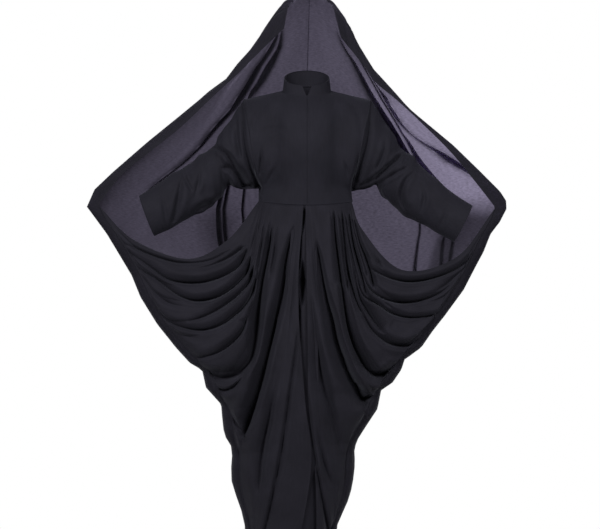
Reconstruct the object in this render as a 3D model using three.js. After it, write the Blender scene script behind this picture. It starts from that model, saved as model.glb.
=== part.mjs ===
// Dress chador, worn with the arms held out
// A one-piece garment: a fitted bodice with a stand collar and wide sleeves, gathered front skirts,
// and a back sheet that rises over the head as a hood and falls to the hem behind.
// Millimetres, +Z up. The front faces -Y. The origin is the inner crown of the hood.
// Left and right are the wearer's: the wearer's left is +X.

import * as THREE from 'three';

// Driving dimensions
const WALL = 2;
const SEAM_GAP = 0.3;
const SEAM_HALF_GAP = 0.2;
const HEM_Z = -1650;
const WAIST_FRONT_Z = -597;
const WAIST_SIDE_RISE = 12;
const WAIST_HALF_WIDTH = 130;
const WAIST_HALF_DEPTH = 92;
const WAIST_BACK_HALF_DEPTH = 86;
const WAIST_SIDE_EASE = 5;
const BODICE_SIDE_EASE = 4;
const NECK_HALF_WIDTH = 68;
const NECK_HALF_DEPTH = 60;
const NECK_Z = -276.5;
const NECK_SLOPE = 18.5;
const COLLAR_TOP_HALF_WIDTH = 62;
const COLLAR_TOP_HALF_DEPTH = 54;
const COLLAR_TOP_Z = -240;
const COLLAR_TOP_SLOPE = 27;
const COLLAR_NOTCH_ANGLE = 0.2;
const COLLAR_END_ANGLE = 0.02;
const COLLAR_CLEARANCE = WALL / 2 + SEAM_GAP + 0.3;
const SEAM_INSET_SHARE = 0.14;
const SEAM_INSET_MAX = 28;
const SEAM_EASE = 30;
const SEAM_OUTWARD = 0.35;
const SEAM_FORWARD = 0.94;
const PLEAT_UNDERLAP = 28;
const PLEAT_HEM_UNDERLAP = 14;
const PLEAT_DEPTH = 12;
const PLEAT_NARROWS = 0.6;
const PLEAT_DEEPENS = 0.2;

// Cells of each piece
const FOLD_CELLS = 4;
const DROP_CELLS = 12;
const STRIP_CELLS = 2;
const BACK_CELLS = 12;
const VEIL_STEP = 2;
const RING_CELLS = 18;
const SLEEVE_CELLS = 16;
const NECK_CELLS = 5;
const SHOULDER_CELLS = 4;
const SIDE_SEAM_CELLS = 2;
const COLLAR_RISE_CELLS = 2;
const PLEAT_DROP_CELLS = 14;

const RIGHT = -1;
const LEFT = 1;

// A table with named columns: each row becomes an object
function table(names, rows) {
  const columns = names.split(' ');
  return rows.map((row) => Object.fromEntries(columns.map((name, index) => [name, row[index]])));
}

// Outermost reach of each side, from the hood down to the hem
const REACH = {
  [RIGHT]: table('z x', [
    [-52, -52], [-78, -95], [-121, -124], [-168, -157], [-206, -191], [-256, -228], [-293, -280],
    [-349, -347], [-424, -438], [-506, -531], [-555, -582], [-602, -602], [-627, -584], [-676, -549],
    [-729, -518], [-789, -483], [-850, -459], [-924, -414], [-990, -362], [-1031, -325], [-1052, -290],
    [-1100, -280], [-1147, -238], [-1183, -235], [-1230, -230], [-1270, -206], [-1350, -212],
    [-1410, -194], [-1452, -178], [-1486, -172], [HEM_Z, -164],
  ]),
  [LEFT]: table('z x', [
    [-52, 72], [-78, 100], [-118, 127], [-146, 138], [-187, 163], [-234, 192], [-267, 223],
    [-335, 286], [-432, 401], [-500, 470], [-560, 529], [-585, 545], [-608, 546], [-644, 528],
    [-676, 504], [-726, 485], [-762, 466], [-830, 432], [-902, 380], [-943, 348], [-990, 316],
    [-1021, 271], [-1050, 262], [-1086, 238], [-1108, 206], [-1160, 196], [-1199, 170], [-1246, 140],
    [-1276, 130], [-1320, 133], [-1372, 127], [-1411, 116], [-1449, 99], [-1486, 83], [HEM_Z, 76],
  ]),
};

// Depth of the side ridge and of the front, by height
const DEPTH = table('z ridge front', [
  [-52, -60, -62], [-78, -38, -64], [-145, -38, -66], [-293, -50, -76], [-456, -66, -92],
  [-602, -80, -98], [-700, -62, -120], [-830, -42, -140], [-1000, -22, -150], [-1150, -6, -150],
  [-1400, 0, -138], [HEM_Z, 0, -125],
]);

// Centre back line of the sheet: from the brow over the crown, down to the hem
const BACK_LINE = table('x y z', [
  [7, -62, -22], [7, -20, -3], [7, 55, -18], [6, 95, -75], [3, 106, -170], [0, 120, -280],
  [0, 132, -390], [0, 140, -490], [0, 144, -600],
  [0, 148, -690], [0, 152, -780], [0, 156, -865], [-5, 158, -945], [-10, 158, -1020],
  [-15, 156, -1085], [-22, 153, -1145], [-30, 148, -1210], [-38, 138, -1330], [-46, 122, HEM_Z],
]);

// Free edge of the turned front strip, from the temple to the hand, with the ridge beside it
const FREE_EDGE = {
  [RIGHT]: table('x z ridge_z turn', [
    [-63, -112, -52, 4], [-102, -148, -78, 22], [-140, -186, -145, 26], [-190, -237, -208, 28],
    [-262, -304, -293, 28], [-345, -384, -368, 28], [-432, -454, -456, 26], [-503, -512, -533, 22],
    [-574, -602, -602, 6],
  ]),
  [LEFT]: table('x z ridge_z turn', [
    [88, -140, -52, 4], [110, -170, -90, 22], [140, -214, -165, 24], [183, -262, -235, 22],
    [240, -312, -305, 14], [308, -376, -372, 12], [393, -451, -455, 16], [455, -528, -533, 18],
    [518, -608, -608, 6],
  ]),
};

// Fold lines of the front skirts, from the open cowl edge to the centre front. Each starts in the
// gathers of the waist seam, hangs through a, b and c, and ends on the side seam or on the hem.
// body is the share of the full front depth that the cloth reaches there.
const SIDE_FOLDS = 10;
const FOLDS = {
  [RIGHT]: table('waist_x a_x a_z b_x b_z c_x c_z end_x end_z body', [
    [-133, -220, -693, -330, -745, -481, -690, 0, -602, 0],
    [-130, -186, -714, -305, -760, -443, -729, 0, -640, 0.15],
    [-126, -168, -745, -280, -813, -410, -803, 0, -712, 0.3],
    [-121, -160, -775, -267, -855, -390, -850, 0, -789, 0.45],
    [-115, -158, -805, -238, -885, -360, -915, 0, -868, 0.6],
    [-109, -155, -835, -217, -915, -308, -955, 0, -942, 0.75],
    [-101, -156, -885, -203, -965, -261, -1012, 0, -1010, 0.9],
    [-92, -150, -930, -188, -1022, -232, -1072, 0, -1064, 1],
    [-83, -138, -965, -166, -1070, -204, -1122, 0, -1125, 1],
    [-71, -104, -950, -130, -1105, -164, -1205, 0, -1262, 1],
    [-58, -82, -945, -104, -1160, -136, -1339, 0, HEM_Z, 1],
    [-44, -62, -930, -72, -1200, -95, -1408, -112, HEM_Z, 1],
    [-10, -24, -840, -6, -1120, 10, -1320, -50, HEM_Z, 1],
  ]),
  [LEFT]: table('waist_x a_x a_z b_x b_z c_x c_z end_x end_z body', [
    [123, 154, -666, 261, -775, 410, -740, 0, -608, 0],
    [119, 142, -697, 244, -800, 396, -782, 0, -655, 0.15],
    [115, 136, -737, 236, -852, 372, -848, 0, -722, 0.3],
    [111, 132, -780, 232, -898, 332, -904, 0, -800, 0.45],
    [106, 126, -815, 203, -950, 268, -976, 0, -902, 0.6],
    [101, 116, -846, 158, -990, 217, -1062, 0, -1003, 0.75],
    [95, 101, -855, 130, -1005, 174, -1095, 0, -1080, 0.9],
    [88, 87, -860, 110, -1020, 144, -1135, 0, -1158, 1],
    [80, 75, -865, 94, -1050, 117, -1190, 0, -1238, 1],
    [71, 60, -870, 76, -1085, 92, -1280, 0, -1360, 1],
    [60, 44, -875, 58, -1110, 72, -1350, 0, HEM_Z, 1],
    [44, 28, -880, 38, -1135, 50, -1390, 44, HEM_Z, 1],
    [-4, 0, -850, 5, -1150, 22, -1320, 28, HEM_Z, 1],
  ]),
};

// Relief of the front folds: share of the width between two fold lines, and where it starts and fades
const FOLD_SHARE = 0.24;
const FOLD_MAX = 22;
const FOLD_DROOP = 0.35;
const FOLD_SKEW = 1.25;
const FOLD_STARTS = 0.1;
const FOLD_FADES = 0.8;
const FOLD_FILLS = 0.35;
const SEAM_MARGIN = 6;
const SEAM_APPROACH = 72;

// Relief of the back sheet: swags across it below the hands, folds that fan out to the hands
const HAND_ROW = 8;
const SWAG = { height: 20, starts: 8.5, full: 10, fades: 16.5, ends: 18, edge: 0.05, inside: 0.35 };
const FAN = { height: 8, folds: 5, starts: 2, full: 5, weakens: 8, weak: 12, weakness: 0.5, inside: 0.2 };
const FALL = { hood: 2.4, back: 1.2, hood_row: 2, back_row: 6 };

// Sleeve rings, from the armhole to the cuff: upper and lower edge, middle depth and half depth
const RINGS = {
  [RIGHT]: table('top_x top_z low_x low_z y half_depth', [
    [-174, -300, -134, -548, 5, 76], [-203, -340, -180, -549, 8, 70], [-235, -388, -215, -540, 8, 64],
    [-262, -428, -236, -562, 8, 62], [-300, -460, -262, -598, 6, 60], [-345, -490, -305, -618, -8, 54],
    [-400, -528, -360, -651, -26, 47], [-462, -571, -421, -681, -48, 42],
  ]),
  [LEFT]: table('top_x top_z low_x low_z y half_depth', [
    [177, -302, 124, -556, 5, 76], [207, -345, 160, -549, 8, 70], [236, -390, 190, -540, 8, 64],
    [262, -432, 208, -562, 8, 62], [296, -462, 238, -596, 6, 60], [335, -500, 285, -630, -8, 54],
    [388, -550, 340, -660, -26, 47], [456, -598, 406, -697, -48, 42],
  ]),
};
const SLEEVE_FOLD = 4;
const SLEEVE_FOLDS = 4;

// Centre lines of the bodice: depth by height
const BODICE_FRONT_LINE = table('z y', [
  [-295, -60], [-340, -92], [-400, -112], [-450, -114], [-530, -98], [WAIST_FRONT_Z, -WAIST_HALF_DEPTH],
]);
const BODICE_BACK_LINE = table('z y', [
  [-258, 60], [-310, 84], [-380, 102], [-450, 104], [-540, 88], [WAIST_FRONT_Z, WAIST_BACK_HALF_DEPTH],
]);

// Helpers for numbers
const lerp = THREE.MathUtils.lerp;
const smoothstep = THREE.MathUtils.smoothstep;

function vector(x, y, z) {
  return new THREE.Vector3(x, y, z);
}

// Smooth curve through equally spaced values
function throughValues(values, position) {
  const last = values.length - 1;
  const index = Math.min(Math.floor(position), last - 1);
  const share = position - index;
  const p1 = values[index];
  const p2 = values[index + 1];
  const p0 = index > 0 ? values[index - 1] : 2 * p1 - p2;
  const p3 = index + 2 <= last ? values[index + 2] : 2 * p2 - p1;
  const slope1 = (p2 - p0) / 2;
  const slope2 = (p3 - p1) / 2;
  const s2 = share * share;
  const s3 = s2 * share;
  return (2 * s3 - 3 * s2 + 1) * p1 + (s3 - 2 * s2 + share) * slope1
    + (3 * s2 - 2 * s3) * p2 + (s3 - s2) * slope2;
}

function columnAt(rows, name, position) {
  return throughValues(rows.map((row) => row[name]), position);
}

// Straight lines between the rows of a table, by height
function atHeight(rows, name, z) {
  if (z >= rows[0].z) return rows[0][name];
  const below = rows.findIndex((row) => row.z <= z);
  if (below < 0) return rows[rows.length - 1][name];
  const high = rows[below - 1];
  const low = rows[below];
  return lerp(high[name], low[name], (high.z - z) / (high.z - low.z));
}

// Closed wall around a grid of points
// grid[i][j] are points, and fixed(i, j) may give the wall's direction at a seam.
// wrap joins the last row of i to the first.
function cloth(name, material, grid, options = {}) {
  const { fixed = () => null, wrap = false } = options;
  const rows = grid.length;
  const columns = grid[0].length;
  const position = [];
  const outer = [];
  const inner = [];
  const at = (i, j) => grid[wrap ? (i + rows) % rows : THREE.MathUtils.clamp(i, 0, rows - 1)][
    THREE.MathUtils.clamp(j, 0, columns - 1)];
  const store = (point) => {
    position.push(point.x, point.y, point.z);
    return position.length / 3 - 1;
  };
  for (let i = 0; i < rows; i++) {
    outer.push([]);
    inner.push([]);
    for (let j = 0; j < columns; j++) {
      const along = at(i + 1, j).clone().sub(at(i - 1, j));
      const across = at(i, j + 1).clone().sub(at(i, j - 1));
      const normal = fixed(i, j) ?? along.cross(across).normalize();
      outer[i].push(store(grid[i][j].clone().addScaledVector(normal, WALL / 2)));
      inner[i].push(store(grid[i][j].clone().addScaledVector(normal, -WALL / 2)));
    }
  }
  const faces = [];
  const quad = (a, b, c, d) => faces.push(a, b, c, a, c, d);
  const stretches = wrap ? rows : rows - 1;
  for (let i = 0; i < stretches; i++) {
    const k = (i + 1) % rows;
    for (let j = 0; j < columns - 1; j++) {
      quad(outer[i][j], outer[k][j], outer[k][j + 1], outer[i][j + 1]);
      quad(inner[i][j], inner[i][j + 1], inner[k][j + 1], inner[k][j]);
    }
    quad(outer[i][0], inner[i][0], inner[k][0], outer[k][0]);
    quad(outer[i][columns - 1], outer[k][columns - 1], inner[k][columns - 1], inner[i][columns - 1]);
  }
  if (!wrap) {
    for (let j = 0; j < columns - 1; j++) {
      quad(outer[0][j], outer[0][j + 1], inner[0][j + 1], inner[0][j]);
      const e = rows - 1;
      quad(outer[e][j], inner[e][j], inner[e][j + 1], outer[e][j + 1]);
    }
  }
  const geometry = new THREE.BufferGeometry();
  geometry.setAttribute('position', new THREE.Float32BufferAttribute(position, 3));
  geometry.setIndex(volume(position, faces) < 0 ? flipped(faces) : faces);
  const mesh = new THREE.Mesh(geometry, material);
  mesh.name = name;
  return mesh;
}

// Six times the signed volume that the faces enclose
function volume(position, faces) {
  let sum = 0;
  const corner = (index) => new THREE.Vector3().fromArray(position, index * 3);
  for (let f = 0; f < faces.length; f += 3) {
    sum += corner(faces[f]).dot(corner(faces[f + 1]).cross(corner(faces[f + 2])));
  }
  return sum;
}

function flipped(faces) {
  return faces.map((_, f) => faces[f - (f % 3) + [0, 2, 1][f % 3]]);
}

// Surface normals of a grid, for laying folds on it
function normalsOf(grid) {
  return grid.map((row, i) => row.map((_, j) => {
    const clampRow = (index) => grid[THREE.MathUtils.clamp(index, 0, grid.length - 1)];
    const clampColumn = (index) => THREE.MathUtils.clamp(index, 0, row.length - 1);
    const along = clampRow(i + 1)[j].clone().sub(clampRow(i - 1)[j]);
    const across = row[clampColumn(j + 1)].clone().sub(row[clampColumn(j - 1)]);
    return along.cross(across).normalize();
  }));
}

// Moves a seam row of points towards its neighbours by half of the seam gap
function drawBack(edge, neighbours) {
  edge.forEach((point, index) => {
    const step = neighbours[index].clone().sub(point).normalize();
    point.addScaledVector(step, SEAM_GAP / 2);
  });
}

const columnOf = (grid, j) => grid.map((row) => row[j]);

// The open tube of the garment: its sides, front and waist
function middleX(z) {
  return (atHeight(REACH[LEFT], 'x', z) + atHeight(REACH[RIGHT], 'x', z)) / 2;
}

function halfWidth(z) {
  return (atHeight(REACH[LEFT], 'x', z) - atHeight(REACH[RIGHT], 'x', z)) / 2;
}

function frontDepth(x, z) {
  const across = Math.min(Math.abs(x - middleX(z)) / halfWidth(z), 1);
  const ridge = atHeight(DEPTH, 'ridge', z);
  return ridge + (atHeight(DEPTH, 'front', z) - ridge) * Math.sqrt(1 - across * across);
}

function waistZ(x) {
  return WAIST_FRONT_Z + WAIST_SIDE_RISE * (x / WAIST_HALF_WIDTH) ** 2;
}

function waistPoint(x, face = -1, halfDepth = WAIST_HALF_DEPTH) {
  const across = Math.min(Math.abs(x) / (WAIST_HALF_WIDTH + WAIST_SIDE_EASE), 1);
  return vector(x, face * halfDepth * Math.sqrt(1 - across * across), waistZ(x));
}

function waistNormal(x) {
  const reach = WAIST_HALF_WIDTH + WAIST_SIDE_EASE;
  const depth = Math.sqrt(Math.max(1 - (x / reach) ** 2, 0));
  return vector(x / reach ** 2, -depth / WAIST_HALF_DEPTH, 0).normalize();
}

// Side seam between a front skirt and the back sheet
function seamPoint(side, fold) {
  const z = columnAt(FOLDS[side].slice(0, SIDE_FOLDS + 1), 'end_z', fold);
  const inset = Math.min(SEAM_INSET_MAX, SEAM_INSET_SHARE * halfWidth(z));
  const reach = (height) => atHeight(REACH[side], 'x', Math.min(height, FOLDS[side][0].end_z));
  const even = (reach(z - SEAM_EASE) + reach(z) + reach(z + SEAM_EASE)) / 3;
  const x = even - side * inset;
  return vector(x, frontDepth(x, z), z);
}

function seamNormal(side) {
  return vector(side * SEAM_OUTWARD, -SEAM_FORWARD, 0).normalize();
}

// How far out the side seam runs at a height
function seamReach(side, z) {
  const last = SIDE_FOLDS * VEIL_STEP;
  for (let k = 0; k < last; k++) {
    const high = seamPoint(side, k / VEIL_STEP);
    const low = seamPoint(side, (k + 1) / VEIL_STEP);
    if (z >= low.z) {
      const share = THREE.MathUtils.clamp((high.z - z) / (high.z - low.z), 0, 1);
      return side * lerp(high.x, low.x, share);
    }
  }
  return side * seamPoint(side, SIDE_FOLDS).x;
}

// Seam points lie on straight stretches between the rows of the back sheet
function seamOnStretch(side, fold) {
  const low = Math.floor(fold * VEIL_STEP) / VEIL_STEP;
  const high = Math.min(low + 1 / VEIL_STEP, SIDE_FOLDS);
  const share = (fold - low) * VEIL_STEP;
  return seamPoint(side, low).lerp(seamPoint(side, high), share);
}

// Front skirt: one fold line at any place between the cowl edge and the centre front
function foldLine(side, fold) {
  const rows = FOLDS[side];
  const value = (name) => columnAt(rows, name, fold);
  const start = waistPoint(value('waist_x'));
  let end = null;
  if (fold <= SIDE_FOLDS) {
    end = seamOnStretch(side, fold);
  } else {
    const hemX = [seamPoint(side, SIDE_FOLDS).x, rows[SIDE_FOLDS + 1].end_x, rows[SIDE_FOLDS + 2].end_x];
    const x = throughValues(hemX, fold - SIDE_FOLDS);
    end = vector(x, frontDepth(x, HEM_Z), HEM_Z);
  }
  const xs = [start.x, value('a_x'), value('b_x'), value('c_x'), end.x];
  const zs = [start.z, value('a_z'), value('b_z'), value('c_z'), end.z];
  const body = THREE.MathUtils.clamp(value('body'), 0, 1);
  return (t) => {
    if (t === 1) return end.clone();
    const x = throughValues(xs, t * 4);
    const z = throughValues(zs, t * 4);
    const straight = lerp(start.y, end.y, t);
    const full = body * smoothstep(t, 0, FOLD_FILLS);
    return vector(x, lerp(straight, frontDepth(x, z), full), z);
  };
}

function frontSkirt(name, side, material) {
  const last = FOLDS[side].length - 1;
  const base = [];
  for (let i = 0; i <= last * FOLD_CELLS; i++) {
    const line = foldLine(side, i / FOLD_CELLS);
    base.push(Array.from({ length: DROP_CELLS + 1 }, (_, j) => line(j / DROP_CELLS)));
  }
  const normals = normalsOf(base);
  const outward = normals[base.length >> 1][DROP_CELLS >> 1].y < 0 ? 1 : -1;
  const grid = base.map((row, i) => row.map((point, j) => {
    const fold = i / FOLD_CELLS;
    const t = j / DROP_CELLS;
    const interval = Math.min(Math.floor(fold), last - 1);
    const width = base[interval * FOLD_CELLS][j].distanceTo(base[(interval + 1) * FOLD_CELLS][j]);
    const height = Math.min(FOLD_SHARE * width, FOLD_MAX);
    const crest = Math.sin(Math.PI * (fold - interval) ** FOLD_SKEW);
    const open = fold > SIDE_FOLDS ? 1 : 1 - smoothstep(t, FOLD_FADES, 1);
    const lift = height * crest * open * smoothstep(t, 0, FOLD_STARTS);
    const moved = point.clone().addScaledVector(normals[i][j], outward * lift);
    moved.z -= FOLD_DROOP * lift * (fold < SIDE_FOLDS ? 1 : 0);
    if (j < DROP_CELLS) {
      const room = seamReach(side, moved.z) - Math.min(SEAM_MARGIN, SEAM_APPROACH * (1 - t));
      moved.x = side * Math.min(side * moved.x, room);
    }
    return moved;
  }));
  grid.forEach((row) => {
    row[0].z -= SEAM_HALF_GAP;
  });
  grid.slice(0, SIDE_FOLDS * FOLD_CELLS + 1).forEach((row) => {
    row[DROP_CELLS].x -= side * SEAM_HALF_GAP;
  });
  const fixed = (i, j) => {
    if (j === 0) return waistNormal(grid[i][0].x).multiplyScalar(outward);
    if (j === DROP_CELLS && i <= SIDE_FOLDS * FOLD_CELLS) return seamNormal(side).multiplyScalar(outward);
    return null;
  };
  return cloth(name, material, grid, { fixed });
}

// Under-panel of the inverted pleat at the centre front
function centrePleat(name, material) {
  const centre = FOLDS[RIGHT].length - 1;
  const rightLine = foldLine(RIGHT, centre);
  const leftLine = foldLine(LEFT, centre);
  const grid = [[], [], [], [], []];
  for (let j = 0; j <= PLEAT_DROP_CELLS; j++) {
    const t = j / PLEAT_DROP_CELLS;
    const right = rightLine(t);
    const left = leftLine(t);
    const under = lerp(PLEAT_UNDERLAP, PLEAT_HEM_UNDERLAP, smoothstep(t, PLEAT_NARROWS, 1));
    const z = (right.z + left.z) / 2;
    const behind = lerp(WALL + SEAM_GAP, PLEAT_DEPTH, smoothstep(t, 0, PLEAT_DEEPENS));
    const places = [right.x - under, right.x, (right.x + left.x) / 2, left.x, left.x + under];
    places.forEach((x, i) => {
      const straight = lerp(waistPoint(x).y, frontDepth(x, HEM_Z), t);
      const full = smoothstep(t, 0, FOLD_FILLS);
      grid[i].push(vector(x, lerp(straight, frontDepth(x, z), full) + behind, z));
    });
  }
  const fixed = (i, j) => (j === 0 ? waistNormal(grid[i][0].x) : null);
  return cloth(name, material, grid, { fixed });
}

// Back sheet: one half, from the free edge and side seam round to the centre back
function veilRow(side, row) {
  const lastRow = BACK_LINE.length - 1;
  const back = vector(columnAt(BACK_LINE, 'x', row), columnAt(BACK_LINE, 'y', row),
    columnAt(BACK_LINE, 'z', row));
  if (row >= HAND_ROW) {
    const edge = seamPoint(side, Math.min(row, lastRow) - HAND_ROW);
    const ridge = vector(atHeight(REACH[side], 'x', edge.z), atHeight(DEPTH, 'ridge', edge.z), edge.z);
    return { edge, ridge, back };
  }
  const rows = FREE_EDGE[side];
  const ridgeZ = columnAt(rows, 'ridge_z', row);
  const ridge = vector(atHeight(REACH[side], 'x', ridgeZ), atHeight(DEPTH, 'ridge', ridgeZ), ridgeZ);
  const edge = vector(columnAt(rows, 'x', row), ridge.y - columnAt(rows, 'turn', row),
    columnAt(rows, 'z', row));
  return { edge, ridge, back };
}

function veilPoint({ edge, ridge, back }, place, row) {
  if (place < STRIP_CELLS) {
    const s = 1 - place / STRIP_CELLS;
    const control = vector(ridge.x, edge.y, ridge.z);
    return ridge.clone().multiplyScalar((1 - s) ** 2)
      .addScaledVector(control, 2 * s * (1 - s))
      .addScaledVector(edge, s * s);
  }
  const angle = ((place - STRIP_CELLS) / BACK_CELLS) * (Math.PI / 2);
  const fall = lerp(FALL.hood, FALL.back, smoothstep(row, FALL.hood_row, FALL.back_row));
  const z = lerp(ridge.z, back.z, 1 - Math.cos(angle) ** fall);
  return vector(lerp(back.x, ridge.x, Math.cos(angle)), lerp(ridge.y, back.y, Math.sin(angle)), z);
}

// How far the folds of the back sheet rise from it. angle is 0 at the ridge and 1 at the centre back.
function veilRelief(row, angle) {
  const swagRows = smoothstep(row, SWAG.starts, SWAG.full) * (1 - smoothstep(row, SWAG.fades, SWAG.ends));
  const swag = swagRows * Math.sin(Math.PI * row / 2) ** 2 * smoothstep(angle, SWAG.edge, SWAG.inside);
  const fanRows = smoothstep(row, FAN.starts, FAN.full)
    * (1 - FAN.weakness * smoothstep(row, FAN.weakens, FAN.weak));
  const fan = fanRows * Math.cos(FAN.folds * Math.PI * (1 - angle)) * smoothstep(angle, 0, FAN.inside);
  return SWAG.height * swag + FAN.height * fan;
}

function veilHalf(name, side, material) {
  const lastRow = BACK_LINE.length - 1;
  const base = [];
  for (let j = 0; j <= lastRow * VEIL_STEP; j++) {
    const row = j / VEIL_STEP;
    const stations = veilRow(side, row);
    const places = Array.from({ length: STRIP_CELLS + BACK_CELLS + 1 }, (_, i) => i);
    base.push(places.map((place) => veilPoint(stations, place, row)));
  }
  const normals = normalsOf(base);
  const lastPlace = STRIP_CELLS + BACK_CELLS;
  const outward = normals[HAND_ROW][lastPlace].y > 0 ? 1 : -1;
  const centreNormal = (j) => {
    const up = base[Math.max(j - 1, 0)][lastPlace];
    const down = base[Math.min(j + 1, base.length - 1)][lastPlace];
    return vector(0, up.z - down.z, down.y - up.y).normalize();
  };
  const grid = base.map((points, j) => points.map((point, place) => {
    const angle = Math.max(place - STRIP_CELLS, 0) / BACK_CELLS;
    const direction = place === lastPlace
      ? centreNormal(j) : normals[j][place].clone().multiplyScalar(outward);
    return point.clone().addScaledVector(direction, veilRelief(j / VEIL_STEP, angle));
  }));
  drawBack(columnOf(grid, lastPlace), columnOf(grid, lastPlace - 1));
  grid.slice(HAND_ROW * VEIL_STEP).forEach((row) => {
    row[0].x += side * SEAM_HALF_GAP;
  });
  const fixed = (j, place) => {
    if (place === lastPlace) return centreNormal(j).multiplyScalar(outward);
    if (place === 0 && j >= HAND_ROW * VEIL_STEP) return seamNormal(side).multiplyScalar(outward);
    return null;
  };
  return cloth(name, material, grid, { fixed });
}

// Sleeve and armhole
function ringPoint(side, place, angle) {
  const rows = RINGS[side];
  const value = (name) => columnAt(rows, name, place);
  const up = Math.cos(angle);
  return vector(
    lerp(value('low_x'), value('top_x'), (1 + up) / 2),
    value('y') - value('half_depth') * Math.sin(angle),
    lerp(value('low_z'), value('top_z'), (1 + up) / 2),
  );
}

function ringNormal(side, angle) {
  const { top_x, top_z, low_x, low_z } = RINGS[side][0];
  const up = vector(top_x - low_x, 0, top_z - low_z).normalize();
  return up.multiplyScalar(Math.cos(angle)).add(vector(0, -Math.sin(angle), 0)).normalize();
}

function sleeve(name, side, material) {
  const last = RINGS[side].length - 1;
  const grid = [];
  for (let i = 0; i < RING_CELLS; i++) {
    const angle = (i / RING_CELLS) * 2 * Math.PI;
    grid.push([]);
    for (let j = 0; j <= SLEEVE_CELLS; j++) {
      const along = j / SLEEVE_CELLS;
      const point = ringPoint(side, along * last, angle);
      const wave = Math.sin(SLEEVE_FOLDS * 2 * Math.PI * along + angle);
      const lift = SLEEVE_FOLD * wave * Math.sin(Math.PI * along);
      grid[i].push(point.addScaledVector(ringNormal(side, angle), lift));
    }
  }
  drawBack(columnOf(grid, 0), columnOf(grid, 1));
  const towards = grid[0][0].clone().sub(grid[RING_CELLS >> 1][0]);
  const sample = grid[1][0].clone().sub(grid[RING_CELLS - 1][0]).cross(grid[0][1].clone().sub(grid[0][0]));
  const outward = sample.dot(towards) > 0 ? 1 : -1;
  const fixed = (i, j) => (j === 0
    ? ringNormal(side, (i / RING_CELLS) * 2 * Math.PI).multiplyScalar(outward) : null);
  return cloth(name, material, grid, { fixed, wrap: true });
}

// Bodice
function neckPoint(angle, shrink = 0) {
  return vector(
    (NECK_HALF_WIDTH - shrink) * Math.sin(angle),
    -(NECK_HALF_DEPTH - shrink) * Math.cos(angle),
    NECK_Z - NECK_SLOPE * Math.cos(angle),
  );
}

// A quarter of the bodice between the centre line and the armhole and side seam.
// face is -1 for the front and 1 for the back.
function bodiceQuarter(side, face) {
  const across = NECK_CELLS + SHOULDER_CELLS;
  const armCells = RING_CELLS / 2;
  const down = armCells + SIDE_SEAM_CELLS;
  const line = face < 0 ? BODICE_FRONT_LINE : BODICE_BACK_LINE;
  const waistDepth = face < 0 ? WAIST_HALF_DEPTH : WAIST_BACK_HALF_DEPTH;
  const waistSide = side * (WAIST_HALF_WIDTH + BODICE_SIDE_EASE);
  const shoulder = ringPoint(side, 0, 0);
  const neckShoulder = neckPoint(side * Math.PI / 2);
  const underarm = ringPoint(side, 0, Math.PI);
  const waistCorner = vector(waistSide, 0, waistZ(waistSide));
  const top = (i) => {
    if (i > NECK_CELLS) return neckShoulder.clone().lerp(shoulder, (i - NECK_CELLS) / SHOULDER_CELLS);
    const quarter = (i / NECK_CELLS) * (Math.PI / 2);
    return neckPoint(side * (face < 0 ? quarter : Math.PI - quarter));
  };
  const bottom = (i) => {
    const x = waistSide * Math.sin((i / across) * Math.PI / 2);
    const point = waistPoint(x, face, waistDepth);
    return i === across ? waistCorner.clone() : point;
  };
  const centre = (j) => {
    const z = lerp(line[0].z, WAIST_FRONT_Z, j / down);
    return vector(0, atHeight(line, 'y', z), z);
  };
  const outside = (j) => {
    if (j > armCells) return underarm.clone().lerp(waistCorner, (j - armCells) / SIDE_SEAM_CELLS);
    return ringPoint(side, 0, (face < 0 ? 1 : -1) * (j / armCells) * Math.PI);
  };
  const corners = [top(0), top(across), bottom(0), bottom(across)];
  const grid = [];
  for (let i = 0; i <= across; i++) {
    grid.push([]);
    for (let j = 0; j <= down; j++) {
      const a = i / across;
      const b = j / down;
      const point = top(i).multiplyScalar(1 - b).addScaledVector(bottom(i), b)
        .addScaledVector(centre(j), 1 - a).addScaledVector(outside(j), a)
        .addScaledVector(corners[0], -(1 - a) * (1 - b)).addScaledVector(corners[1], -a * (1 - b))
        .addScaledVector(corners[2], -(1 - a) * b).addScaledVector(corners[3], -a * b);
      grid[i].push(point);
    }
  }
  return grid;
}

// Wall directions shared by the bodice pieces and their neighbours at each seam
function bodiceSeamNormal(side, face, i, j) {
  const across = NECK_CELLS + SHOULDER_CELLS;
  const armCells = RING_CELLS / 2;
  const down = armCells + SIDE_SEAM_CELLS;
  if (i === across && j > armCells) return vector(side, 0, 0);
  if (i === across) return ringNormal(side, (face < 0 ? 1 : -1) * (j / armCells) * Math.PI);
  if (j === 0) return vector(0, 0, 1);
  if (j === down) {
    const x = side * (WAIST_HALF_WIDTH + BODICE_SIDE_EASE) * Math.sin((i / across) * Math.PI / 2);
    const normal = waistNormal(x);
    normal.y *= -face;
    return normal;
  }
  if (i === 0) return vector(0, face, 0);
  return null;
}

function openBodiceSeams(grid) {
  const last = grid.length - 1;
  drawBack(grid[last], grid[last - 1]);
  grid.forEach((row) => {
    row[row.length - 1].z += SEAM_HALF_GAP;
  });
}

function facingOut(grid, face) {
  const row = normalsOf(grid)[NECK_CELLS];
  return Math.sign(row[row.length >> 1].y) === face ? 1 : -1;
}

function bodiceFront(name, side, material) {
  const grid = bodiceQuarter(side, -1);
  openBodiceSeams(grid);
  drawBack(grid[0], grid[1]);
  grid.slice(NECK_CELLS).forEach((row) => {
    row[0].y -= SEAM_GAP / 2;
  });
  const outward = facingOut(grid, -1);
  const fixed = (i, j) => bodiceSeamNormal(side, -1, i, j)?.multiplyScalar(outward);
  return cloth(name, material, grid, { fixed });
}

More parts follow.
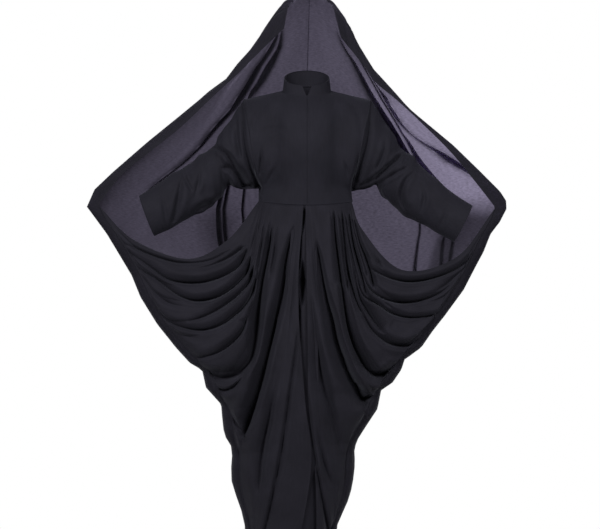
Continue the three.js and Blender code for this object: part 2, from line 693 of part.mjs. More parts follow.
function bodiceBack(name, material) {
  const halves = [RIGHT, LEFT].map((side) => {
    const grid = bodiceQuarter(side, 1);
    openBodiceSeams(grid);
    grid.slice(NECK_CELLS).forEach((row) => {
      row[0].y += SEAM_GAP / 2;
    });
    return grid;
  });
  const grid = [...halves[0].slice(1).reverse(), ...halves[1]];
  const middle = halves[0].length - 1;
  const outward = facingOut(grid, 1);
  const fixed = (i, j) => {
    const side = i < middle ? RIGHT : LEFT;
    if (i === middle && j > 0 && j < grid[0].length - 1) return null;
    return bodiceSeamNormal(side, 1, Math.abs(i - middle), j)?.multiplyScalar(outward);
  };
  return cloth(name, material, grid, { fixed });
}

// Stand collar, open in a notch at the centre front
function collar(name, material) {
  const around = NECK_CELLS * 4;
  const grid = [];
  for (let i = 0; i <= around; i++) {
    grid.push([]);
    for (let j = 0; j <= COLLAR_RISE_CELLS; j++) {
      const rise = j / COLLAR_RISE_CELLS;
      const start = lerp(COLLAR_END_ANGLE, COLLAR_NOTCH_ANGLE, rise);
      const angle = lerp(start, 2 * Math.PI - start, i / around);
      const low = neckPoint(angle, COLLAR_CLEARANCE);
      const high = vector(
        COLLAR_TOP_HALF_WIDTH * Math.sin(angle),
        -COLLAR_TOP_HALF_DEPTH * Math.cos(angle),
        COLLAR_TOP_Z - COLLAR_TOP_SLOPE * Math.cos(angle),
      );
      grid[i].push(low.lerp(high, rise));
    }
  }
  return cloth(name, material, grid);
}

// Materials
function crepe(colour, roughness) {
  return new THREE.MeshStandardMaterial({ color: colour, roughness, metalness: 0 });
}

const outerCrepe = crepe(0x1b1b20, 0.85);
const sheetCrepe = crepe(0x24242b, 0.85);
const bodiceCrepe = crepe(0x1d1d22, 0.85);

// The garment
const chador = new THREE.Group();
chador.name = 'chador';
chador.add(
  veilHalf('back_sheet_right', RIGHT, sheetCrepe),
  veilHalf('back_sheet_left', LEFT, sheetCrepe),
  frontSkirt('front_skirt_right', RIGHT, outerCrepe),
  frontSkirt('front_skirt_left', LEFT, outerCrepe),
  centrePleat('centre_pleat', outerCrepe),
  bodiceFront('bodice_front_right', RIGHT, bodiceCrepe),
  bodiceFront('bodice_front_left', LEFT, bodiceCrepe),
  bodiceBack('bodice_back', bodiceCrepe),
  sleeve('sleeve_right', RIGHT, bodiceCrepe),
  sleeve('sleeve_left', LEFT, bodiceCrepe),
  collar('collar', bodiceCrepe),
);

export default chador;
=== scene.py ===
"""Black dress chador, worn with the arms held out: the cloth, its folds and its sewing.

Metres in the scene, millimetres in the tables. The front faces -Y and +Z is up.
Left and right are the wearer's, so the wearer's left is +X.
"""

import math

import bpy
import numpy as np
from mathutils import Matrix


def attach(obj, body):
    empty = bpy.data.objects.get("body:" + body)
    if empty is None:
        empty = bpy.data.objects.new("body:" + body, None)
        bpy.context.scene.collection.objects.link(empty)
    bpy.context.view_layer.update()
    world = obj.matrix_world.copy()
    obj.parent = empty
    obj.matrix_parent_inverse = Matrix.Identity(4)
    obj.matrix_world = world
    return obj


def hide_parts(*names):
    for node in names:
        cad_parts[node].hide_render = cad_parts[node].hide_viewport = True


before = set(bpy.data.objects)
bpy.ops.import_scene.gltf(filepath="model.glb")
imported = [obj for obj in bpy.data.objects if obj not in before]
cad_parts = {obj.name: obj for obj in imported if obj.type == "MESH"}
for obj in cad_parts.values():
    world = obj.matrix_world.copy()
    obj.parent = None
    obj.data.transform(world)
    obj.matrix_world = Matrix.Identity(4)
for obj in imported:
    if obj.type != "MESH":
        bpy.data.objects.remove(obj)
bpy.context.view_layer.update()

# Shape tables
MM = 0.001
RIGHT, LEFT = -1, 1
BODICE_WAIST_SIDE = {RIGHT: -134, LEFT: 127}
HEM_Z = -1650
WAIST_FRONT_Z = -597
WAIST_SIDE_RISE = 12
WAIST_HALF_WIDTH = 130
WAIST_HALF_DEPTH = 92
WAIST_BACK_HALF_DEPTH = 86
WAIST_SIDE_EASE = 5
NECK_HALF_WIDTH = 68
NECK_HALF_DEPTH = 60
NECK_Z = -276.5
NECK_SLOPE = 18.5
COLLAR_TOP_HALF_WIDTH = 62
COLLAR_TOP_HALF_DEPTH = 54
COLLAR_TOP_Z = -240
COLLAR_TOP_SLOPE = 27
COLLAR_NOTCH_ANGLE = 0.2
COLLAR_END_ANGLE = 0.02
COLLAR_INSET = 1.6
COLLAR_CELLS = (160, 16)
SEAM_INSET_SHARE = 0.14
SEAM_INSET_MAX = 28
SEAM_EASE = 30
PLEAT_UNDERLAP = 28
PLEAT_HEM_UNDERLAP = 14
PLEAT_DEPTH = 12
SIDE_FOLDS = 10
HAND_ROW = 8
LAST_ROW = 18
SEAM_SAMPLES, LINE_SAMPLES = 81, 101
# Words that stand for a number in the tables
NAMED = {"hem": HEM_Z, "waist": WAIST_FRONT_Z,
         "front": -WAIST_HALF_DEPTH, "back": WAIST_BACK_HALF_DEPTH}


def numbers(text):
    """Rows of numbers, with commas between the rows."""
    return [[float(NAMED.get(word, word)) for word in row.split()] for row in text.split(",")]


def table(names, text):
    """A table with named columns, each as an array."""
    return dict(zip(names.split(), np.array(numbers(text)).T))


# Outermost reach of each side, from the hood down to the hem
REACH = {
    RIGHT: table("z x", """
    -52 -52, -78 -95, -121 -124, -168 -157, -206 -191, -256 -228, -293 -280, -349 -347, -424 -438,
    -506 -531, -555 -582, -602 -602, -627 -584, -676 -549, -729 -518, -789 -483, -850 -459,
    -924 -414, -990 -362, -1031 -325, -1052 -290, -1100 -280, -1147 -238, -1183 -235, -1230 -230,
    -1270 -206, -1350 -212, -1410 -194, -1452 -178, -1486 -172, hem -164
    """),
    LEFT: table("z x", """
    -52 72, -78 100, -118 127, -146 138, -187 163, -234 192, -267 223, -335 286, -432 401, -500 470,
    -560 529, -585 545, -608 546, -644 528, -676 504, -726 485, -762 466, -830 432, -902 380,
    -943 348, -990 316, -1021 271, -1050 262, -1086 238, -1108 206, -1160 196, -1199 170, -1246 140,
    -1276 130, -1320 133, -1372 127, -1411 116, -1449 99, -1486 83, hem 76
    """),
}

# Depth of the side ridge and of the front, by height
DEPTH = table("z ridge front", """
    -52 -60 -62, -78 -38 -64, -145 -38 -66, -293 -50 -76, -456 -66 -92, -602 -80 -98, -700 -62 -120,
    -830 -42 -140, -1000 -22 -150, -1150 -6 -150, -1400 0 -138, hem 0 -125
""")

# Centre back line of the sheet: from the brow over the crown, down to the hem
BACK_LINE = table("x y z", """
    7 -62 -22, 7 -20 -3, 7 55 -18, 6 95 -75, 3 106 -170, 0 120 -280, 0 132 -390, 0 140 -490,
    0 144 -600, 0 148 -690, 0 152 -780, 0 156 -865, -5 158 -945, -10 158 -1020, -15 156 -1085,
    -22 153 -1145, -30 148 -1210, -38 138 -1330, -46 122 hem
""")

# Free edge of the turned front strip, from the temple to the hand, with the ridge beside it
FREE_EDGE = {
    RIGHT: table("x z ridge_z turn", """
    -63 -112 -52 4, -102 -148 -78 22, -140 -186 -145 26, -190 -237 -208 28, -262 -304 -293 28,
    -345 -384 -368 28, -432 -454 -456 26, -503 -512 -533 22, -574 -602 -602 6
    """),
    LEFT: table("x z ridge_z turn", """
    94 -136 -52 4, 122 -170 -90 20, 157 -214 -165 20, 190 -260 -235 16, 250 -310 -305 9,
    322 -378 -372 8, 393 -451 -455 14, 455 -528 -533 18, 518 -608 -608 6
    """),
}

# Fold lines of the front skirts, from the open cowl edge to the centre front
FOLDS = {
    RIGHT: table("waist_x a_x a_z b_x b_z c_x c_z end_x end_z body", """
    -133 -220 -693 -330 -745 -481 -690 0 -602 0,
    -130 -186 -714 -305 -760 -443 -729 0 -640 0.15,
    -126 -168 -745 -280 -813 -410 -803 0 -712 0.3,
    -121 -160 -775 -267 -855 -390 -850 0 -789 0.45,
    -115 -158 -805 -238 -885 -360 -915 0 -868 0.6,
    -109 -155 -835 -217 -915 -308 -955 0 -942 0.75,
    -101 -156 -885 -203 -965 -261 -1012 0 -1010 0.9,
    -92 -150 -930 -188 -1022 -232 -1072 0 -1064 1,
    -80 -138 -965 -166 -1070 -204 -1122 0 -1125 1,
    -34 -94 -950 -133 -1105 -166 -1203 0 -1262 1,
    -27 -74 -945 -104 -1160 -136 -1339 0 hem 1,
    -19 -50 -930 -70 -1200 -95 -1408 -112 hem 1,
    -10 -24 -840 -6 -1120 10 -1320 -50 hem 1
    """),
    LEFT: table("waist_x a_x a_z b_x b_z c_x c_z end_x end_z body", """
    123 154 -666 261 -775 410 -740 0 -608 0,
    119 142 -697 244 -800 396 -782 0 -655 0.15,
    115 136 -737 236 -852 372 -848 0 -722 0.3,
    110 132 -780 232 -898 332 -904 0 -800 0.45,
    104 126 -815 203 -950 268 -976 0 -902 0.6,
    97 116 -846 158 -990 217 -1062 0 -1003 0.75,
    84 101 -855 130 -1005 174 -1095 0 -1080 0.9,
    54 84 -870 117 -1012 163 -1104 0 -1116 1,
    24 64 -885 104 -1022 150 -1114 0 -1150 1,
    14 46 -900 80 -1075 106 -1230 0 -1330 1,
    7 30 -890 58 -1120 76 -1370 0 hem 1,
    2 15 -870 32 -1140 50 -1385 44 hem 1,
    -4 0 -850 5 -1150 22 -1320 28 hem 1
    """),
}

# Sleeve rings, from the armhole to the cuff: upper and lower edge, middle depth and half depth
RINGS = {
    RIGHT: table("top_x top_z low_x low_z y half_depth", """
    -174 -300 -134 -548 5 76, -203 -340 -180 -549 8 70, -235 -388 -215 -540 8 64,
    -262 -428 -236 -562 8 62, -300 -460 -262 -598 6 60, -345 -490 -305 -618 -8 54,
    -400 -528 -360 -651 -26 47, -462 -571 -421 -681 -48 42
    """),
    LEFT: table("top_x top_z low_x low_z y half_depth", """
    177 -302 124 -556 5 76, 207 -345 160 -549 8 70, 236 -390 190 -540 8 64, 262 -432 208 -562 8 62,
    296 -462 238 -596 6 60, 335 -500 285 -630 -8 54, 388 -550 340 -660 -26 47,
    456 -598 406 -697 -48 42
    """),
}

# Centre lines of the bodice's front (-1) and back (1): depth by height
BODICE_LINE = {
    -1: table("z y", "-295 -60, -340 -92, -400 -112, -450 -114, -530 -98, waist front"),
    1: table("z y", "-258 60, -310 84, -380 102, -450 104, -540 88, waist back"),
}

# Relief of the front folds and of the back sheet
FOLD_SHARE, FOLD_MAX, FOLD_DROOP, FOLD_SKEW = 0.24, 22, 0.35, 1.25
FOLD_STARTS, FOLD_FADES, FOLD_FILLS = 0.1, 0.8, 0.35
SEAM_MARGIN, SEAM_APPROACH = 4, 72
SWAG = dict(height=20, starts=8.5, full=10, fades=16.5, ends=18, edge=0.05, inside=0.35)
FAN = dict(height=8, folds=5, starts=2, full=5, weakens=8, weak=12, weakness=0.5, inside=0.2)
FALL = dict(hood=2.4, back=1.2, hood_row=2, back_row=6)
FOLD_STRENGTH = (0.4, 0.45, 0.45, 0.45, 0.4, 0.35, 0.2, 0.1, 0.1, 0.1, 0.1, 0.1)
FOLD_ROUND = 2.5


# Helpers for numbers
def smooth(x, low, high):
    t = np.clip((np.asarray(x, float) - low) / (high - low), 0, 1)
    return t * t * (3 - 2 * t)


def mix(a, b, t):
    return a + (b - a) * t


def points(x, y, z):
    return np.stack(np.broadcast_arrays(x, y, z), axis=-1).astype(float)


def unit(v):
    return v / np.maximum(np.linalg.norm(v, axis=-1, keepdims=True), 1e-9)


def through(values, place):
    """Smooth curve through equally spaced values, which may be arrays themselves."""
    values, place = np.asarray(values, float), np.asarray(place, float)
    i = np.clip(np.floor(place).astype(int), 0, len(values) - 2)
    s = (place - i).reshape(place.shape + (1,) * (values.ndim - 1))
    ends = 2 * values[:1] - values[1:2], 2 * values[-1:] - values[-2:-1]
    longer = np.concatenate([ends[0], values, ends[1]])
    p0, p1, p2, p3 = (longer[i + step] for step in range(4))
    m1, m2 = (p2 - p0) / 2, (p3 - p1) / 2
    s2, s3 = s * s, s ** 3
    return (2 * s3 - 3 * s2 + 1) * p1 + (s3 - 2 * s2 + s) * m1 \
        + (3 * s2 - 2 * s3) * p2 + (s3 - s2) * m2


def at_height(rows, name, z):
    return np.interp(-np.asarray(z, float), -rows["z"], rows[name])


def grid_normals(grid):
    along = np.gradient(grid, axis=0)
    across = np.gradient(grid, axis=1)
    return unit(np.cross(along, across))


# The open tube of the garment
def middle_x(z):
    return (at_height(REACH[LEFT], "x", z) + at_height(REACH[RIGHT], "x", z)) / 2


def half_width(z):
    return (at_height(REACH[LEFT], "x", z) - at_height(REACH[RIGHT], "x", z)) / 2


def front_depth(x, z):
    across = np.minimum(np.abs(x - middle_x(z)) / half_width(z), 1)
    ridge = at_height(DEPTH, "ridge", z)
    return ridge + (at_height(DEPTH, "front", z) - ridge) * np.sqrt(1 - across ** 2)


def waist_point(x, face=-1, half_depth=WAIST_HALF_DEPTH):
    across = np.minimum(np.abs(x) / (WAIST_HALF_WIDTH + WAIST_SIDE_EASE), 1)
    z = WAIST_FRONT_Z + WAIST_SIDE_RISE * (x / WAIST_HALF_WIDTH) ** 2
    return points(x, face * half_depth * np.sqrt(1 - across ** 2), z)


def seam_point(side, fold):
    """Side seam between a front skirt and the back sheet."""
    folds = FOLDS[side]
    z = through(folds["end_z"][:SIDE_FOLDS + 1], fold)
    inset = np.minimum(SEAM_INSET_MAX, SEAM_INSET_SHARE * half_width(z))
    reach = [at_height(REACH[side], "x", np.minimum(z + step, folds["end_z"][0]))
             for step in (-SEAM_EASE, 0, SEAM_EASE)]
    x = sum(reach) / 3 - side * inset
    return points(x, front_depth(x, z), z)


def seam_reach(side, z):
    seam = seam_point(side, np.linspace(0, SIDE_FOLDS, SEAM_SAMPLES))
    return side * np.interp(-z, -seam[:, 2], seam[:, 0])


def fold_lines(side, fold, t):
    """Fold lines of a front skirt: fold is a column of places, t runs from the waist to the end."""
    rows = FOLDS[side]
    value = {name: through(rows[name], fold) for name in rows}
    start = waist_point(value["waist_x"])
    seam = seam_point(side, np.minimum(fold, SIDE_FOLDS))
    ends = [seam_point(side, np.array(float(SIDE_FOLDS)))[0], *rows["end_x"][SIDE_FOLDS + 1:]]
    hem_x = through(ends, np.maximum(fold - SIDE_FOLDS, 0))
    hem = points(hem_x, front_depth(hem_x, HEM_Z), HEM_Z)
    end = np.where((fold <= SIDE_FOLDS)[:, None], seam, hem)
    x, z = (through([start[:, k], *(value[f"{point}_{axis}"] for point in "abc"), end[:, k]],
                    4 * t).T for k, axis in ((0, "x"), (2, "z")))
    body = np.clip(value["body"], 0, 1)[:, None]
    straight = mix(start[:, 1][:, None], end[:, 1][:, None], t[None, :])
    y = mix(straight, front_depth(x, z), body * smooth(t, 0, FOLD_FILLS)[None, :])
    y[:, -1] = end[:, 1]
    return points(x, y, z)


def crest(u):
    """A soft fold between two troughs: 0 at both ends, 1 at its top."""
    return 1 - np.abs(2 * u ** FOLD_SKEW - 1) ** FOLD_ROUND


# Creases placed as seen from the front on the plane y = 0. Each is a name and then: its
# width at the start, middle and end; its depth there; the height of the crest on the left and right
# hand of the line, and how far the left one leans over it; and the places (x z) it runs through
SEEN_FROM = (-19, -4560, -760)
CREASE_REACH, CREASE_STEPS = 8, 10
TIP_LENGTH, TIP_SHARE = 0.07, 0.5
TROUGH_POWER, TROUGH_HIDES = 1.7, 5
CREST_AWAY, CREST_SPREAD = 2.0, 1.3
SOFT_SIDE, HARD_SIDE, EVEN_SIDE = 1.6, 0.8, 1.1
SLIT_SHARE, SLIT_WIDTH, SLIT_LEAST, SLIT_FROM, SLIT_FULL = 0.5, 0.45, 2.6, 3, 6
LEAN, LEAN_AWAY, LEAN_SPREAD = 0.5, 1.2, 0.9
FACING, SHOWS_FROM, SHOWS_FULL = 0.8, 0.05, 0.35


def creases(text):
    made = []
    for entry in text.split(";"):
        width, deep, (left, right, lean), *places = numbers(entry.split(":")[1])
        made.append(dict(width=width, deep=deep, left=left, right=right, lean=lean,
                         places=np.array(places)))
    return made


def as_seen(grid):
    """Where each point shows on the plane y = 0, looked at from the front."""
    grow = SEEN_FROM[1] / (SEEN_FROM[1] - grid[..., 1])
    return np.stack([SEEN_FROM[0] + (grid[..., 0] - SEEN_FROM[0]) * grow,
                     SEEN_FROM[2] + (grid[..., 2] - SEEN_FROM[2]) * grow], axis=-1)


def crease_field(seen, lines, slit):
    """How far the creases lift the cloth, and how far they shift it in x and z.

    The side with the higher crest slopes softly into the trough, and the other rises sharply. slit
    is the share of the depth that a narrow slit adds where the cloth closes over a wide crease.
    """
    deepest = np.zeros(seen.shape[:-1])
    highest = np.zeros(seen.shape[:-1])
    shift = np.zeros(seen.shape)
    for line in lines:
        last = len(line["places"]) - 1
        path = through(line["places"], np.linspace(0, last, CREASE_STEPS * last + 1))
        margin = CREASE_REACH * max(line["width"])
        low, high = path.min(axis=0) - margin, path.max(axis=0) + margin
        near = ((seen > low) & (seen < high)).all(axis=-1)
        if not near.any():
            continue
        place = seen[near]
        step = np.diff(path, axis=0)
        away = place[:, None] - path[None, :-1]
        along = np.clip((away * step).sum(-1) / (step ** 2).sum(-1), 0, 1)
        off = away - along[..., None] * step
        nearest = np.argmin((off ** 2).sum(-1), axis=1)
        pick = np.arange(len(place)), nearest
        u = (nearest + along[pick]) / len(step)
        heading = unit(step)[nearest]
        side = np.stack([-heading[:, 1], heading[:, 0]], axis=-1)
        distance = np.linalg.norm(off[pick], axis=-1) * np.sign((off[pick] * side).sum(-1))
        tip = np.interp(u, [0, TIP_LENGTH, 1 - TIP_LENGTH, 1], [TIP_SHARE, 1, 1, TIP_SHARE])
        width = np.interp(u, [0, 0.5, 1], line["width"]) * tip
        deep = np.interp(u, [0, 0.5, 1], line["deep"]) * tip
        share = deep / max(line["deep"])
        soft = np.sign(line["left"] - line["right"])
        slopes = {1: SOFT_SIDE, -1: HARD_SIDE, 0: EVEN_SIDE}
        reach = {hand: width * slopes[int(soft * hand)] for hand in (1, -1)}
        slope = np.where(distance > 0, reach[1], reach[-1])
        narrow = np.maximum(SLIT_WIDTH * width, SLIT_LEAST)
        trough = deep * np.exp(-(np.abs(distance) / slope) ** TROUGH_POWER) \
            + slit * deep * smooth(width, SLIT_FROM, SLIT_FULL) * np.exp(-(distance / narrow) ** 2)
        crests = sum(line[name] * np.exp(-((distance - hand * CREST_AWAY * reach[hand])
                                           / (CREST_SPREAD * reach[hand])) ** 2)
                     for hand, name in ((1, "left"), (-1, "right")))
        deepest[near] = (deepest[near] ** 3 + trough ** 3) ** (1 / 3)
        highest[near] = np.hypot(highest[near], share * crests)
        over = np.exp(-((distance - LEAN_AWAY * width) / (LEAN_SPREAD * width)) ** 2)
        shift[near] -= side * (LEAN * line["lean"] * share * over)[:, None]
    return highest * np.exp(-deepest / TROUGH_HIDES) - deepest, shift


def press(grid, normals, lines, strength=1.0, slit=0.0):
    """Lays creases on the side of a grid that faces the front, mostly along the line of sight."""
    lift, shift = crease_field(as_seen(grid), lines, slit)
    shown = strength * smooth(-normals[..., 1], SHOWS_FROM, SHOWS_FULL)
    facing = unit(np.array(SEEN_FROM) - grid)
    moved = grid + unit(mix(normals, facing, FACING)) * (lift * shown)[..., None]
    moved[..., 0] += shift[..., 0] * shown
    moved[..., 2] += shift[..., 1] * shown
    return moved


SKIRT_STRENGTH, BODICE_STRENGTH, SLEEVE_STRENGTH = 1.45, 1.9, 1.95

SKIRT_CREASES = {
    RIGHT: creases("""
    swag 1: 4 5 4, 1 6 4, 3 3 1, -558 -654, -514 -698, -470 -718, -415 -740, -360 -754, -305 -754,
        -261 -745, -214 -720;
    swag 1 inner: 4 5 6, 0 6 7, 2 2 2, -305 -773, -267 -762, -217 -740, -176 -710;
    swag 2: 7 7 6, 1 11 12, 6 3 3, -542 -674, -498 -723, -443 -762, -388 -800, -338 -811, -283 -808,
        -228 -789, -190 -762, -168 -723;
    swag 3: 7 7 7, 0 11 16, 6 3 3, -520 -729, -476 -767, -421 -798, -388 -825, -349 -850, -305 -861,
        -250 -850, -201 -817, -168 -778, -157 -745;
    swag 3 outer: 5 6 5, 0 5 0, 2 2 0, -443 -825, -388 -866, -333 -880;
    swag 4: 4 9 9, 0 12 18, 5 3 3, -344 -924, -294 -908, -245 -883, -201 -850, -165 -811, -151 -776;
    swag 5: 5 8 9, 2 12 19, 6 3 4, -426 -883, -382 -921, -338 -938, -289 -943, -239 -927, -195 -894,
        -157 -850, -143 -803;
    swag 6: 5 7 7, 0 10 8, 5 3 3, -322 -1026, -289 -1018, -250 -1006, -206 -976, -180 -943,
        -168 -908;
    swag 7 up to the waist: 14 13 5, 13 25 10, 7 4 1, -280 -1062, -239 -1078, -195 -1067,
        -157 -1026, -143 -976, -136 -918, -131 -866, -123 -803, -113 -754, -103 -701, -98 -660;
    swag 7 edge: 5 6 5, 8 12 4, 0 5 0, -275 -1094, -236 -1111, -209 -1103, -187 -1081, -165 -1048;
    waist fold: 3 4 3, 1 4 1, 2 2 0, -138 -640, -146 -690, -151 -735, -157 -765;
    gather 1: 2.5 3.5 4, 3 8 6, 2 2 0, -121 -652, -124 -690, -131 -732, -138 -781;
    gather 2: 2.5 4 4, 2 8 7, 2 2 0, -104 -640, -106 -672, -110 -708, -116 -740;
    gather 3: 2.5 4 4, 2 8 5, 2 2 0, -84 -660, -88 -700, -94 -745, -103 -790;
    gather 4: 2 2 2, 1 2.5 0, 1 1 0, -131 -630, -134 -655, -139 -680;
    long fold: 4 10 11, 4 28 33, 5 10 0, -38 -660, -41 -682, -51 -726, -58 -764, -63 -808, -74 -869,
        -88 -924, -104 -990, -118 -1050, -140 -1128, -161 -1188, -176 -1235;
    lower fold: 6 9 9, 0 12 7, 3 4 0, -74 -1056, -94 -1133, -107 -1199, -121 -1265, -129 -1326,
        -135 -1392;
    pleat line: 3 5 5, 4 9 8, 2 2 0, -25 -940, -30 -996, -41 -1072, -55 -1172, -72 -1292, -88 -1370,
        -104 -1446, -126 -1532, -143 -1600;
    end of the long fold: 6 7 5, 5 9 0, 0 3 0, -176 -1235, -198 -1204, -226 -1158
    """),
    LEFT: creases("""
    swag 1: 5 6 5, 5 11 6, 5 3 2, 157 -742, 179 -770, 201 -784, 239 -800, 283 -808, 333 -803,
        388 -786, 437 -759, 473 -729;
    swag 1 outer: 5 8 5, 0 8 4, 3 2 2, 349 -839, 382 -820, 415 -792, 456 -754;
    swag 2: 6 7 5, 9 13 4, 6 3 4, 157 -781, 173 -820, 201 -847, 245 -864, 283 -866, 327 -858,
        371 -839, 415 -803;
    swag 3: 6 6 4, 9 13 4, 5 3 4, 140 -798, 162 -847, 201 -872, 239 -896, 283 -908, 338 -905,
        382 -894;
    swag 3 inner: 4 5 4, 0 5 0, 2 2 1, 195 -847, 223 -869, 250 -891;
    swag 4: 6 9 9, 4 16 9, 5 4 2, 129 -764, 146 -842, 168 -883, 190 -918, 214 -949;
    swag 5: 6 8 7, 5 13 10, 6 3 3, 135 -847, 157 -896, 184 -943, 223 -976, 256 -987, 289 -987,
        327 -971;
    swag 6: 7 12 12, 18 28 26, 6 6 0, 93 -770, 106 -864, 118 -930, 135 -984, 154 -1023, 176 -1053,
        201 -1072, 234 -1062, 267 -1040;
    long fold: 6 12 13, 5 33 34, 8 9 0, 28 -698, 36 -742, 47 -808, 58 -858, 72 -908, 85 -968,
        102 -1018, 124 -1072, 146 -1108, 165 -1136, 195 -1133;
    waist fold 1: 4 6 8, 8 18 22, 5 6 0, 76 -616, 81 -676, 87 -726, 93 -770, 100 -820;
    waist fold 2: 3 6 6, 8 19 11, 3 4 0, 99 -619, 106 -685, 113 -754, 124 -806, 139 -858, 158 -900;
    waist fold 3: 3 6 6, 8 17 9, 3 3 0, 118 -622, 129 -693, 142 -745, 157 -800, 171 -848;
    waist fold 4: 3 5 7, 7 14 12, 3 3 0, 133 -638, 148 -696, 165 -740, 177 -776, 190 -825;
    soft fold: 8 15 14, 0 15 4, 4 5 0, 11 -830, 19 -908, 28 -984, 38 -1050, 52 -1111, 72 -1177,
        85 -1232, 96 -1282;
    pleat line: 3 5 6, 4 12 15, 2 2 0, -6 -968, -3 -1050, 0 -1133, 8 -1216, 16 -1276, 25 -1317;
    pleat line left branch: 6 9 8, 13 12 6, 3 3 0, 25 -1298, 14 -1336, -11 -1380, -33 -1436,
        -52 -1490, -72 -1559;
    pleat line right branch: 4 5 5, 7 9 8, 2 2 0, 25 -1314, 36 -1375, 47 -1436, 58 -1496, 66 -1573;
    lower fold: 6 7 5, 0 7 0, 3 3 0, 30 -1204, 41 -1282, 63 -1353, 88 -1390;
    open edge: 4 5 4, 0 5 0, 2 2 1, 187 -723, 201 -754, 214 -776;
    gather 1: 2.5 4 5, 4 8 8, 2 2 0, 90 -625, 97 -690, 104 -760, 117 -835;
    gather 2: 2.5 3.5 4, 4 8 6, 2 2 0, 108 -628, 118 -690, 133 -760, 151 -820;
    gather 3: 2.5 3.5 4, 4 8 6, 2 2 0, 126 -634, 139 -690, 155 -745, 172 -800;
    gather 4: 2 2 2, 1 3 1, 1 1 0, 66 -612, 70 -650, 74 -690
    """),
}

PLEAT_CREASES = creases("""
    opening under the waist: 5 4 3, 20 16 4, 0 0 0, -5 -606, -9 -640, -15 -680;
    hollow beside the right edge: 3 9 4, 0 50 4, 0 0 0, -13 -745, -11 -785, -11 -830, -15 -880;
    right edge: 3 3.5 3, 10 14 10, 0 0 0, -18 -670, -21 -740, -21 -830, -22 -920, -24 -1010
""")

# Valleys along the armhole seams, shared by the bodice and the sleeves
ARMHOLES = {
    RIGHT: creases("""
    armhole: 4 5 7, 3 8 14, 1 3 0, -182 -286, -177 -358, -171 -424, -159 -478, -140 -528, -129 -556
    """),
    LEFT: creases("""
    armhole: 4 6 7, 3 9 13, 3 1 0, 178 -300, 174 -363, 166 -418, 149 -478, 126 -547
    """),
}
BODICE_CREASES = {
    RIGHT: ARMHOLES[RIGHT] + creases("""
    bust dart: 3 4 3, 0 4.5 2, 1.5 1 0, -126 -429, -129 -468, -133 -512;
    side drag line: 4 5 4, 0 3 0, 1 1 0, -77 -468, -96 -506, -118 -544;
    shoulder drag line: 5 7 5, 0 2.5 0, 1 1 0, -85 -286, -124 -319, -151 -374, -157 -434;
    chest: 6 8 6, 0 2 0, 1 1 0, -47 -385, -85 -380, -118 -390, -135 -418
    """),
    LEFT: ARMHOLES[LEFT] + creases("""
    waist dart: 2.5 3 2.5, 0 3 0, 1 1 0, 102 -468, 109 -490, 116 -517;
    side drag line: 3 3.5 3, 0 3 0, 1 1 0, 146 -446, 140 -478, 132 -512;
    shoulder drag line: 5 7 5, 0 2.5 0, 1 1 0, 91 -280, 124 -308, 148 -358, 151 -424;
    opening: 1.6 2 1.6, 1.2 1.8 0, 0.6 0.3 0, 1 -297, 8 -341, 8 -407
    """),
}
SLEEVE_CREASES = {
    RIGHT: ARMHOLES[RIGHT] + creases("""
    upper arm: 4 6 7, 2 9 9, 3 3 0, -275 -424, -240 -440, -215 -462, -195 -500, -168 -540;
    under the arm: 6 11 10, 4 15 15, 4 3 0, -234 -492, -212 -495, -190 -517, -173 -544, -151 -556;
    shoulder: 5 6 5, 0 5 3, 2 2 0, -195 -341, -195 -402, -184 -462;
    elbow: 4 5 4, 0 5 2, 2 2 0, -349 -484, -338 -522, -319 -558;
    forearm: 4 6 5, 1 6 4, 3 2 0, -344 -500, -355 -550, -366 -605, -377 -644;
    forearm 2: 4 5 4, 0 4 0, 2 2 0, -297 -490, -302 -534, -314 -578;
    lower edge: 5 6 5, 0 6 3, 3 2 0, -322 -619, -286 -600, -242 -583;
    cuff: 4 5 4, 0 3 0, 1.5 1.5 0, -404 -556, -396 -610, -388 -660
    """),
    LEFT: ARMHOLES[LEFT] + creases("""
    upper arm: 4 5 5, 2 7 6, 3 3 1, 138 -544, 184 -522, 228 -487, 264 -454;
    upper arm 2: 3 4 4, 0 5 3, 2 2 1, 201 -539, 236 -512, 278 -490;
    elbow: 4 5 5, 2 5 3, 3 2 0, 297 -503, 272 -528, 261 -564, 270 -605;
    elbow 2: 3 4 4, 0 4 2, 2 2 0, 212 -534, 206 -561, 228 -600, 250 -622;
    shoulder: 5 6 5, 0 4 2, 2 2 0, 220 -402, 217 -446, 195 -495;
    forearm: 4 5 4, 0 4 0, 2 2 0, 322 -539, 327 -578, 316 -622;
    cuff: 4 5 4, 0 3 0, 1.5 1.5 0, 393 -594, 382 -632, 366 -666
    """),
}

WAIST_TUCK = dict(reach=12, inward=1.8, up=2.5)
CALM = dict(waist=0.03, end=0.93, edge=0.3)
FOLD_CELLS = (28, 28, 28, 28, 28, 28, 24, 18, 18, 22, 16, 12)
DROP_CELLS = 172


